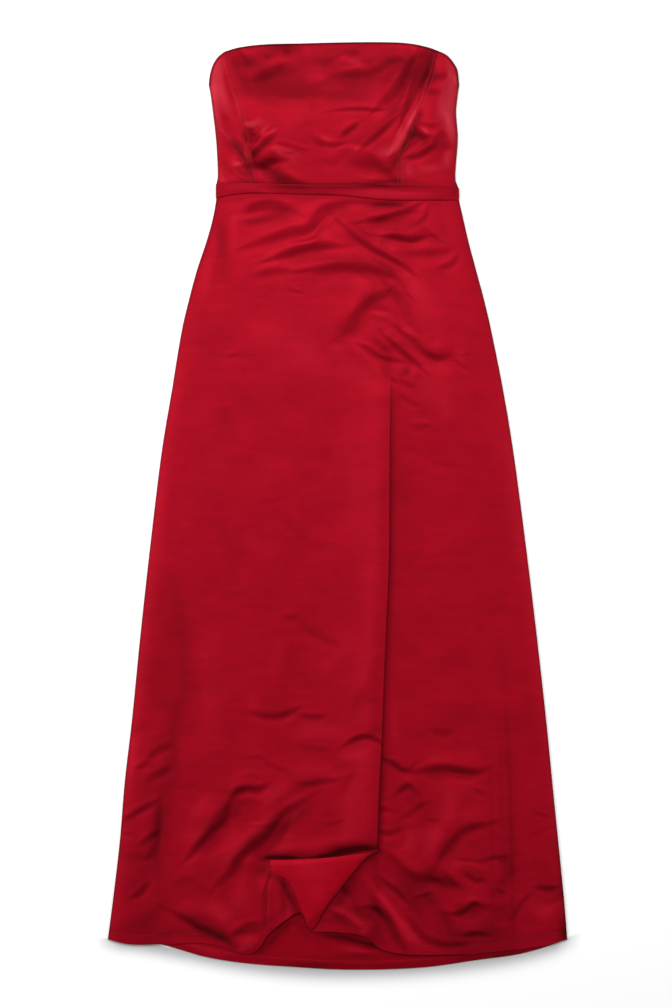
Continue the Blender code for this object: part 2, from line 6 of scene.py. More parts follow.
import bpy
import numpy as np
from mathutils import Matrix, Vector


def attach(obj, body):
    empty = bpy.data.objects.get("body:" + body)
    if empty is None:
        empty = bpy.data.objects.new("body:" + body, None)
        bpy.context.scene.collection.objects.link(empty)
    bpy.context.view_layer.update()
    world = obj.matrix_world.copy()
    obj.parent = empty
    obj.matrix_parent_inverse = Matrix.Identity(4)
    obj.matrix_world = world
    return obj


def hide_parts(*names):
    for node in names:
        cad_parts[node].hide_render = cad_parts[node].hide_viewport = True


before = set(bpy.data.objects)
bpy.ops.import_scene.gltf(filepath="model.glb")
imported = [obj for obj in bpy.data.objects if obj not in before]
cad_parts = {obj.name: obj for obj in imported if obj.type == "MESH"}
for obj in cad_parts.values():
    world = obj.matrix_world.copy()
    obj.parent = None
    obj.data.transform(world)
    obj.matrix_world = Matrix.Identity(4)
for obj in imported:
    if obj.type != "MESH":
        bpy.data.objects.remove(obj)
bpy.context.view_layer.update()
mm = 0.001
topY = 0.7

# The dress's own shape, and the strength of the painted shade along its sides ("sideDark") and beside the
# slit ("fallDark")
shape = {
    "frontTop": 3.0, "frontWall": 1.5, "backWall": 1.2,
    "waistLeft": 223.0, "waistRight": 227.0, "loftPower": 0.72,
    "foldCalm": 16.0, "foldCalmFade": 16.0, "sideCalm": 14.0,
    "creaseCalm": 8.0, "creaseCalmFade": 9.0, "creaseSideCalm": 7.0,
    "waveCalm": 4.0, "waveCalmFade": 40.0, "waveWaist": 20.0, "waveWaistFade": 60.0,
    "lapRise": 3.2, "lapStart": 500.0, "lapFull": 540.0, "lapFade": 80.0, "lapHeadFade": 80.0,
    "rollRise": 2.6, "rollWidth": 30.0, "rollInset": 0.35, "rollSharp": 2.2, "rollRun": 200.0,
    "fall": 1.5, "fallWidth": 13.0, "fallRun": 60.0, "fallDark": 0.55, "slitHead": 520.6, "zipFoot": 420.0,
    "lapHide": 12.0, "foldHide": 8.0, "cornerHide": 6.0, "cornerFrom": 1230.0, "cornerTo": 1345.0,
    "sideTop": 62.1, "sideFoot": 1354.0, "sideDark": 0.9, "sideDarkWidth": 2.4,
    "edgeTurns": (0.25, 0.5, 0.75), "sharpAngle": 60.0, "steepest": 1.6,
}
# Side seams: down, left, right
sections = [
    (62.1, -194.5, 183.9), (78.7, -191.5, 181.6), (102.9, -188.4, 179.4), (142.3, -183.9, 182.0),
    (178.6, -181.6, 179.4), (202.8, -181.0, 178.4), (225.0, -181.4, 181.0), (263.4, -188.4, 189.9),
    (296.6, -197.5, 197.5), (342.1, -212.6, 209.6), (387.5, -224.8, 221.7), (432.9, -235.4, 232.3),
    (523.7, -250.5, 250.5), (614.5, -265.6, 265.6), (750.7, -282.3, 283.8), (886.9, -297.4, 300.4),
    (1023.1, -311.0, 315.6), (1113.9, -321.6, 324.6), (1204.8, -329.2, 333.7), (1295.6, -339.8, 342.8),
    (1354.0, -347.4, 347.4),
]
# Loft of the front: down, height, width that it rounds off over at the sides
lofts = [
    (0, 8.5, 52), (70, 13.0, 48), (130, 12.5, 44), (185, 7.0, 34), (225, 4.6, 26), (270, 3.9, 28),
    (420, 3.5, 26), (900, 3.0, 24), (1400, 2.6, 22),
]
# Seams and edges, as (across, down)
neckLeft = [(-194.5, 62.1), (-193.0, 48.4), (-188.4, 33.3), (-180.9, 21.9), (-170.3, 13.6)]
neckCentre = [
    (-170.3, 13.6), (-147.6, 7.6), (-111.2, 3.0), (-56.8, 1.5), (3.8, 0.0), (88.5, 0.0), (124.9, 4.5),
    (151.3, 12.1),
]
neckRight = [(151.3, 12.1), (164.2, 18.2), (173.3, 27.2), (180.9, 39.4), (183.9, 62.1)]
neckBack = [(-194.5, 62.1), (-147.6, 66.6), (-0.8, 74.2), (140.0, 65.1), (183.9, 62.1)]
bustLeft = [
    (-170.3, 13.6), (-162.7, 48.4), (-150.6, 87.8), (-140.0, 127.1), (-133.9, 169.5), (-127.9, 205.8),
    (-126.0, 224.0),
]
bustRight = [
    (151.3, 12.1), (141.5, 48.4), (129.4, 81.7), (120.3, 109.0), (99.1, 160.4), (94.6, 180.6),
    (96.1, 226.5),
]
sashTop = [
    (-183.9, 211.9), (-147.6, 210.4), (-102.2, 211.9), (-56.8, 213.4), (34.1, 213.4), (94.6, 216.4),
    (183.9, 217.9),
]
sashFoot = [
    (-183.9, 233.8), (-147.6, 227.8), (-102.2, 226.7), (-56.8, 228.5), (3.8, 230.1), (64.3, 236.1),
    (124.9, 237.6), (183.9, 236.9),
]
waistLeft = [(-181.4, 223.0), (-150.0, 223.4), (-126.0, 224.0)]
waistCentre = [(-126.0, 224.0), (-56.8, 221.7), (18.9, 223.2), (96.1, 226.5)]
waistRight = [(96.1, 226.5), (140.0, 227.2), (181.0, 227.0)]
slitSpots = [
    (96.1, 226.5), (90.1, 281.5), (84.0, 372.3), (81.0, 455.6), (80.6, 520.6), (78.6, 584.2),
    (77.2, 781.0), (74.0, 856.6), (69.6, 962.6), (66.0, 1056.4), (63.2, 1106.4), (59.0, 1218.4),
]
lapSpots = [
    (81.0, 520.6), (70.4, 584.2), (43.1, 690.2), (21.9, 811.2), (0.8, 992.9), (-20.4, 1174.5),
    (-40.1, 1341.0),
]
hemLeft = [
    (-347.4, 1354.0), (-314.1, 1361.0), (-271.7, 1361.0), (-214.2, 1359.1), (-171.8, 1365.2),
    (-153.6, 1372.8), (-135.5, 1375.8), (-120.4, 1369.2), (-102.2, 1344.0), (-75.7, 1322.1),
    (-56.8, 1312.0), (-40.1, 1339.5),
]
foldLine = [(-40.1, 1339.5), (-17.4, 1301.4), (0.6, 1278.0), (18.4, 1255.6), (41.4, 1229.6), (59.0, 1218.4)]
hemRight = [
    (-40.1, 1341.0), (-0.8, 1342.5), (28.0, 1345.5), (47.7, 1352.1), (62.8, 1367.2), (94.6, 1375.0),
    (155.1, 1376.7), (215.7, 1374.3), (306.5, 1363.7), (347.4, 1354.0),
]
hemBack = [
    (-347.4, 1354.0), (-274.7, 1360.6), (-238.4, 1369.7), (-202.1, 1380.3), (-147.6, 1389.4),
    (-74.9, 1395.5), (15.9, 1400.0), (124.9, 1397.0), (215.7, 1384.9), (270.2, 1377.3), (306.5, 1368.2),
    (347.4, 1354.0),
]
cornerTop = [
    (-101.3, 1233.6), (-56.8, 1231.6), (-11.4, 1228.4), (18.9, 1224.8), (39.0, 1222.6), (58.3, 1218.0),
]
cornerSide = [
    (-101.3, 1233.6), (-98.0, 1250.7), (-77.9, 1260.2), (-70.4, 1271.4), (-55.2, 1304.6),
    (-41.1, 1338.5),
]

# Largest folds, by kind: height and half width in mm, then across and down of each spot of the line.
# A step is high on its neck side, a lift on its hem side, a ridge and a valley along the line.
largeFolds = {
    "step": [
        (4.2, 13, 119, 15, 86, 75, 66, 94), (4.2, 13, 143, 14, 115, 75, 100, 112),
        (4.5, 11, -163, 145, -141, 170, -127, 206), (4.8, 12, -137, 183, -108, 176, -85, 170),
        (3.8, 12, 121, 115, 106, 148, 90, 175), (2.6, 12, -138, 251, -95, 242, -70, 252),
        (2.3, 12, -123, 303, -48, 280, -10, 245), (2.6, 12, -97, 325, -40, 308, 3, 305),
        (3.8, 12, 18, 282, 60, 315, 113, 343), (3.8, 12, -40, 343, 50, 340, 100, 374),
        (3.8, 11, 42, 269, 87, 262, 125, 240), (4.2, 11, 65, 290, 100, 294, 135, 291),
        (2.2, 15, 0, 442, 28, 416, 70, 380), (3.2, 12, 72, 362, 100, 395, 125, 442),
        (4.2, 11, 90, 425, 135, 470, 178, 470), (4.2, 11, 78, 447, 100, 470, 125, 490),
        (5.4, 15, -110, 1150, -95, 1180, -160, 1265), (4.5, 13, -165, 1155, -185, 1195, -220, 1225),
        (4.2, 13, -245, 1313, -195, 1340, -150, 1368), (4.2, 12, 125, 1098, 165, 1097, 220, 1100),
        (4.2, 13, 225, 1178, 179, 1194, 149, 1234), (3.8, 13, 70, 1222, 105, 1258, 155, 1262),
        (3.8, 11, 175, 1313, 195, 1310, 218, 1304),
    ],
    "ridge": [
        (1.4, 11, -105, 1223, -31, 1212, 39, 1203), (2.8, 10, -107, 1262, -102, 1300, -106, 1330),
        (2.4, 14, 46, 1271, 70, 1320, 101, 1371), (3.4, 12, 0, 1300, 20, 1325, 45, 1342),
    ],
}

# Creases, by kind: strength from 1 to 5, half width in mm, spots
bodiceCreases = {
    "step": [
        (3, 4.5, -151, 12, -137, 27, -129, 39), (2, 3, -140, 30, -135, 64),
        (3, 10.6, -123, 54, -102, 45, -75, 32), (2, 6.1, -22, 33, -2, 21, 10, 15),
        (3, 9.1, 2, 51, 31, 48, 52, 45, 76, 33, 92, 24), (4, 7.6, 119, 15, 107, 33, 99, 51, 84, 76, 66, 94),
        (5, 7.6, 146, 12, 132, 39, 117, 64, 107, 91, 99, 109),
        (5, 4.5, 122, 112, 116, 127, 102, 154, 90, 176), (4, 4.5, 117, 130, 128, 139, 140, 145, 152, 141),
        (4, 4.5, 105, 173, 123, 170, 142, 157, 155, 139), (2, 3, 129, 124, 143, 126, 157, 123),
        (2, 3, 134, 73, 142, 73, 152, 74), (3, 3, -7, 104, 11, 102, 34, 101, 57, 103, 76, 102),
        (4, 4.5, 39, 157, 57, 141, 75, 126, 90, 112), (3, 4.5, 7, 141, 17, 132, 30, 123),
        (3, 4.5, -36, 144, -25, 150, -7, 154, 2, 153), (1, 6.1, -23, 176, -8, 180, 5, 173),
        (2, 12.1, 22, 179, 42, 180, 61, 182), (3, 6.1, 52, 173, 69, 188, 79, 200, 92, 210),
        (5, 4.5, -163, 145, -151, 160, -142, 173, -134, 188, -128, 206),
        (4, 6.1, -128, 173, -117, 159, -108, 150, -98, 141),
        (4, 6.1, -138, 186, -123, 185, -108, 183, -96, 179, -82, 177),
        (4, 6.1, -113, 188, -95, 195, -78, 203, -58, 212), (2, 3, -95, 151, -70, 156, -46, 163),
        (2, 3, -175, 183, -160, 195, -143, 206),
    ],
    "lift": [
        (2, 7.6, 5, 33, 22, 30, 42, 26), (1, 12.1, -51, 48, -36, 47, -19, 45),
        (4, 4.5, 131, 70, 114, 100, 99, 130, 81, 163), (3, 4.5, 99, 168, 123, 157, 148, 142),
        (2, 4.5, 2, 159, 19, 156, 36, 159), (4, 2.3, -132, 162, -123, 148, -114, 137, -103, 127),
    ],
    "valley": [(4, 10.6, -134, 130, -129, 139, -123, 148)],
}
hipCreases = {
    "step": [
        (3, 9.1, -137, 254, -122, 244, -99, 239, -72, 251), (1, 4.5, -148, 269, -114, 268, -87, 265),
        (3, 7.6, -125, 303, -95, 292, -69, 283, -46, 280, -34, 269, -26, 254, -11, 245, 11, 239, 34, 236),
        (4, 6.1, -99, 325, -79, 318, -61, 312, -34, 306, -1, 306), (2, 6.1, -122, 350, -99, 344, -72, 342),
        (3, 6.1, -43, 342, -11, 338, 19, 338, 48, 341, 72, 347, 89, 354, 98, 365, 104, 374),
        (5, 4.5, 14, 280, 26, 291, 42, 303, 57, 313, 75, 322, 95, 333, 110, 344),
        (2, 3, -75, 369, -64, 374, -52, 377), (4, 4.5, 42, 269, 64, 265, 87, 257, 110, 250, 125, 242),
        (3, 3, 49, 253, 75, 250, 95, 245), (3, 4.5, 95, 277, 113, 275, 132, 262, 135, 251),
        (5, 4.5, 64, 291, 87, 292, 110, 297, 132, 292), (3, 3, 134, 282, 143, 289, 158, 300),
        (3, 7.6, 90, 313, 117, 315, 140, 315, 163, 312), (3, 4.5, 155, 338, 170, 334, 181, 322),
        (3, 7.6, 22, 415, 37, 400, 54, 386, 72, 377),
        (3, 6.1, 72, 363, 82, 372, 95, 387, 102, 406, 113, 425, 125, 443),
        (4, 4.5, 89, 427, 101, 439, 119, 450, 131, 465, 142, 471, 154, 475, 164, 472),
        (5, 4.5, 78, 448, 90, 457, 105, 471, 117, 481, 125, 489),
        (4, 4.5, 36, 456, 49, 463, 64, 472, 79, 477, 95, 480), (3, 4.5, 57, 448, 67, 457, 76, 466),
        (2, 3, 178, 478, 188, 486, 196, 492), (3, 3, 79, 504, 86, 509, 92, 513),
        (2, 4.5, 95, 509, 107, 515, 117, 519), (2, 4.5, 96, 531, 108, 540, 120, 546),
        (2, 4.5, 110, 577, 125, 578, 140, 577), (2, 3, -169, 471, -160, 472, -149, 469),
    ],
    "lift": [(3, 4.5, -61, 300, -39, 295, -23, 274, -4, 259), (3, 4.5, 55, 406, 75, 410, 95, 428)],
}
middleCreases = {
    "step": [
        (2, 3, 99, 604, 119, 618, 140, 630), (2, 3, 145, 630, 164, 636, 185, 642),
        (2, 3, 99, 649, 110, 651, 120, 649), (2, 3, 129, 645, 138, 651, 148, 657),
        (1, 7.6, -98, 695, -61, 736, -42, 755, -1, 763), (3, 4.5, -81, 866, -70, 867, -58, 864),
        (2, 6.1, -54, 875, -42, 887, -1, 907), (1, 4.5, -173, 837, -148, 829, -122, 822),
    ],
}
leftCreases = {
    "step": [
        (4, 6.1, -126, 1011, -102, 1016, -81, 1013, -63, 1005), (3, 4.5, -54, 1014, -39, 1017, -20, 1016),
        (5, 4.5, 13, 1058, 28, 1049, 46, 1046, 61, 1052, 67, 1056),
        (2, 4.5, -135, 1078, -117, 1078, -102, 1088, -78, 1099), (1, 4.5, -45, 1064, -28, 1066, -11, 1064),
        (3, 6.1, -284, 1078, -269, 1066, -254, 1059), (3, 4.5, -303, 1096, -294, 1090, -287, 1084),
        (3, 6.1, -284, 1111, -269, 1102, -254, 1093),
        (4, 4.5, -320, 1171, -305, 1162, -290, 1153, -272, 1143),
        (2, 3, -323, 1193, -316, 1193, -308, 1193), (4, 4.5, -299, 1211, -284, 1199, -272, 1190),
        (3, 4.5, -290, 1232, -285, 1227, -281, 1223), (4, 4.5, -311, 1290, -296, 1280, -287, 1268),
        (5, 6.1, -158, 1135, -148, 1128, -135, 1125, -120, 1126, -111, 1122),
        (5, 6.1, -166, 1156, -172, 1174, -187, 1187, -199, 1199, -211, 1212, -220, 1223),
        (5, 7.6, -57, 1147, -75, 1159, -93, 1178, -108, 1196, -129, 1214, -148, 1232, -160, 1250, -172, 1262),
        (3, 4.5, -57, 1117, -42, 1117, -23, 1114, -2, 1112), (3, 3, -26, 1176, -8, 1178, 7, 1173),
        (5, 6.1, -244, 1314, -226, 1324, -208, 1335, -190, 1344, -172, 1353, -157, 1365),
        (4, 4.5, -160, 1347, -148, 1338, -132, 1330, -117, 1329),
        (1, 6.1, -241, 1262, -229, 1262, -217, 1262),
        (1, 4.5, -99, 1229, -64, 1227, -30, 1224, 4, 1218, 37, 1215, 52, 1217),
    ],
    "ridge": [
        (3, 9.1, -148, 1362, -135, 1358, -122, 1353),
        (4, 3.8, -102, 1271, -104, 1296, -104, 1323, -102, 1341),
        (4, 4.5, -92, 1265, -90, 1288, -90, 1311, -89, 1329), (3, 4.5, -70, 1280, -69, 1296, -66, 1311),
    ],
    "valley": [
        (3, 6.1, -267, 1144, -269, 1182, -272, 1220),
        (5, 3.8, -101, 1259, -107, 1279, -110, 1303, -110, 1326, -108, 1347),
        (4, 4.5, -81, 1265, -81, 1283, -79, 1303, -78, 1320),
    ],
}
rightCreases = {
    "step": [
        (4, 4.5, 70, 1081, 86, 1088, 98, 1097, 110, 1096, 114, 1090),
        (5, 6.1, 125, 1099, 140, 1096, 161, 1094, 179, 1097, 194, 1100, 210, 1100, 219, 1097),
        (4, 4.5, 86, 1135, 98, 1126, 107, 1120, 117, 1129), (2, 6.1, 140, 1037, 160, 1040, 173, 1037),
        (3, 3, 207, 1125, 213, 1129, 219, 1135), (3, 4.5, 63, 1156, 73, 1156, 82, 1159),
        (4, 4.5, 61, 1190, 79, 1193, 95, 1187), (3, 4.5, 95, 1171, 110, 1162, 122, 1153, 134, 1147),
        (3, 3, 134, 1173, 143, 1173, 152, 1173),
        (4, 6.1, 225, 1179, 210, 1182, 193, 1188, 178, 1199, 166, 1214, 157, 1226, 151, 1237),
        (3, 6.1, 64, 1220, 79, 1226, 92, 1238, 104, 1250, 119, 1259, 140, 1264, 155, 1262),
        (4, 4.5, 67, 1262, 82, 1274, 95, 1286, 107, 1299), (4, 3, 116, 1290, 134, 1286, 143, 1283),
        (3, 3, 185, 1232, 216, 1235, 240, 1230, 252, 1237),
        (4, 4.5, 191, 1250, 201, 1259, 210, 1265, 219, 1262), (3, 4.5, 161, 1250, 173, 1265, 185, 1274),
        (5, 4.5, 173, 1314, 185, 1314, 198, 1305, 207, 1299, 219, 1305),
        (4, 4.5, 191, 1347, 210, 1344, 228, 1346),
        (4, 6.1, 107, 1320, 122, 1341, 137, 1353, 155, 1359, 170, 1361, 191, 1359),
        (4, 4.5, 37, 1305, 55, 1305, 70, 1320, 79, 1338, 89, 1353, 98, 1367),
        (3, 3, 240, 1277, 246, 1280, 252, 1283), (4, 4.5, 300, 1274, 316, 1276, 331, 1274),
        (4, 4.5, 291, 1284, 279, 1297, 271, 1309, 267, 1322), (3, 3, 297, 1162, 308, 1165, 319, 1167),
        (1, 4.5, 294, 1196, 313, 1187, 322, 1181),
    ],
    "lift": [(3, 4.5, 33, 1344, 43, 1338, 55, 1320)],
    "ridge": [
        (4, 7, 49, 1273, 67, 1299, 86, 1326, 98, 1350, 107, 1368), (3, 6.1, -10, 1306, 14, 1318, 34, 1333),
    ],
    "valley": [(2, 4.5, 264, 1235, 264, 1250, 264, 1265), (3, 6.1, 4, 1273, 11, 1282, 19, 1290)],
}

# Strokes of painted shade and painted highlight on the cloth, by half width in mm: level, painted shade below
# 0 and painted highlight above, then the spots of the stroke
bodicePaintedShading = {
    2: [(-36, -184, 211, -148, 210, -102, 211, -57, 213, 34, 213, 95, 216, 184, 217)],
    3: [
        (10, -169, 33, -157, 73, -148, 103), (-10, -167, 39, -154, 97),
        (12, -131, 154, -114, 136, -105, 124), (16, 43, 204, 79, 204), (-14, 19, 101, 52, 103, 70, 101),
        (-18, -151, 207, -135, 210, -120, 210),
    ],
    4: [
        (9, -148, 124, -117, 117), (14, 117, 79, 104, 109, 92, 142), (-12, -63, 213, 4, 213, 61, 210),
        (-14, 107, 212, 155, 213), (-26, 142, 36, 132, 54, 122, 79),
        (22, 135, 27, 125, 48, 113, 73, 102, 91), (-26, 108, 97, 102, 109, 96, 127),
        (22, 120, 91, 111, 118, 101, 142, 89, 163), (18, 125, 129, 135, 139), (20, 178, 48, 179, 61),
        (20, -140, 160, -137, 173), (18, -110, 142, -93, 133), (-16, -142, 118, -123, 117),
        (12, -135, 129, -123, 127), (-15, -145, 118, -145, 136, -137, 151),
        (-12, -87, 154, -69, 159, -51, 165), (18, -143, 14, -122, 20), (12, -23, 145, -5, 153),
        (18, -158, 188, -148, 183, -138, 198), (18, -137, 180, -131, 186, -117, 194), (15, 113, 20, 122, 9),
        (-12, -110, 136, -99, 130), (-12, -30, 154, -16, 157), (12, 125, 132, 137, 139),
        (-12, 107, 174, 119, 177), (-10, -57, 82, -49, 85),
    ],
    5: [
        (-8, -108, 21, -72, 9, -48, 14), (-7, -99, 53, -60, 41), (7, 76, 79, 95, 48, 110, 18),
        (8, -99, 160, -63, 179), (-14, -132, 157, -122, 179), (10, -187, 203, -163, 212),
        (8, 155, 67, 173, 42), (-24, -114, 179, -102, 176, -89, 176),
        (-20, -148, 160, -138, 176, -132, 191), (-16, 140, 0, 125, 27, 107, 58),
        (-10, -172, 109, -160, 133), (-14, -138, 145, -126, 173), (-14, 98, 160, 107, 144, 125, 139),
        (-12, 52, 188, 76, 192, 101, 180), (-8, -11, 104, 52, 101), (-26, 34, 210, 76, 209, 113, 210),
        (-28, -105, 204, -78, 209, -45, 212), (-20, 55, 209, 101, 209), (-13, 37, 32, 52, 30),
        (-24, 126, 17, 117, 24, 111, 36), (-12, 101, 61, 98, 71),
        (-22, 98, 97, 82, 109, 64, 124, 46, 139, 34, 150), (-20, 92, 115, 70, 133, 52, 151, 40, 157),
        (-20, 31, 127, 19, 133, 7, 142), (-20, -37, 151, -22, 156), (-11, -8, 157, 16, 154, 34, 151),
        (-16, 120, 110, 131, 109), (-14, 137, 127, 149, 126), (-14, 134, 76, 152, 76),
        (14, 161, 103, 169, 121, 175, 139), (-15, 78, 183, 89, 176), (-12, 57, 188, 67, 197),
        (-20, -120, 160, -129, 173), (-20, -113, 156, -95, 151), (-20, -134, 139, -120, 138),
        (-13, -158, 144, -149, 156), (12, -184, 36, -187, 70, -184, 103, -176, 127),
        (-11, -138, 58, -120, 58, -99, 53), (-11, -43, 100, -31, 95), (-15, -95, 191, -75, 192),
        (-13, 149, 15, 152, 24), (12, 25, 163, 37, 160), (-15, 160, 135, 161, 147),
        (-12, -23, 86, 19, 85, 52, 86), (-12, 140, 54, 164, 51), (9, -26, 70, 11, 70),
    ],
    6: [
        (8, 95, 94, 107, 121, 98, 148), (-9, 146, 130, 167, 157), (-9, 140, 53, 164, 48),
        (8, -190, 85, -187, 115, -184, 160), (-8, -120, 85, -87, 97), (-14, 70, 27, 98, 24),
        (-14, -160, 18, -151, 42, -135, 70), (-12, -102, 3, -69, 3), (10, -179, 27, -175, 67, -163, 109),
        (10, -138, 127, -123, 123), (12, 70, 170, 92, 159), (9, 119, 191, 155, 188),
        (12, 166, 160, 164, 188), (12, -181, 179, -178, 209), (-8, 122, 94, 125, 127),
        (-9, 137, 76, 155, 76), (-18, 113, 36, 101, 61, 89, 85), (18, -161, 179, -142, 188),
        (-20, -82, 15, -70, 18), (-15, -111, 24, -99, 21), (-22, 11, 20, 31, 17),
        (-18, 76, 33, 89, 30, 98, 29, 92, 42), (-22, 108, 145, 119, 141, 134, 148),
        (-12, 145, 163, 157, 154, 170, 157), (-11, -148, 33, -123, 33), (12, -52, 9, -40, 18),
        (11, 105, 182, 108, 200),
    ],
    7: [
        (-7, -81, 83, -26, 77), (-9, 70, 91, 92, 103), (-10, -87, 42, -60, 39),
        (-12, 7, 15, 28, 17, 52, 27, 86, 24), (-12, 134, 170, 158, 148), (14, 157, 70, 155, 115),
        (14, 101, 58, 79, 82, 58, 100), (-14, -123, 166, -108, 150, -93, 139),
        (12, -99, 160, -78, 159, -57, 166), (-8, 10, 138, 31, 126),
    ],
    8: [
        (-14, -108, 6, -63, 9), (-9, -145, 79, -54, 82), (-9, -36, 77, 61, 76), (14, -48, 54, -14, 54),
        (10, 86, 15, 119, 12), (-12, 128, 58, 164, 48), (-16, -146, 191, -123, 209),
        (-14, 140, 6, 128, 30, 113, 61), (-14, -151, 182, -134, 203), (12, 61, 170, 86, 160, 101, 142),
        (-22, 102, 136, 117, 135, 137, 151), (-9, -51, 115, -39, 124),
    ],
    9: [
        (-10, -33, 30, 22, 33), (-12, 98, 79, 73, 109), (-12, -175, 142, -135, 163), (8, -114, 36, -72, 24),
        (-20, 70, 183, 95, 171), (10, -138, 127, -111, 124), (-12, -178, 176, -151, 192),
    ],
    10: [
        (-20, -66, 30, -11, 27), (24, 170, 21, 173, 62, 169, 103, 170, 154),
        (-28, -117, 180, -98, 197, -75, 212),
    ],
    11: [(-12, 43, 188, 95, 194), (-16, 98, 170, 131, 160, 167, 154)],
    12: [
        (-22, -163, 27, -111, 27), (-12, -148, 70, -102, 73, -48, 77), (18, 7, 21, 28, 33, 46, 39),
        (22, -191, 18, -193, 51, -188, 85),
    ],
    13: [
        (-18, -160, 17, -57, 9, 19, 9, 107, 12), (20, -179, 15, -179, 54, -175, 94),
        (-16, 143, 18, 140, 54, 135, 91),
    ],
    26: [(-30, -175, 54, -57, 61, 19, 58, 98, 48)],
}
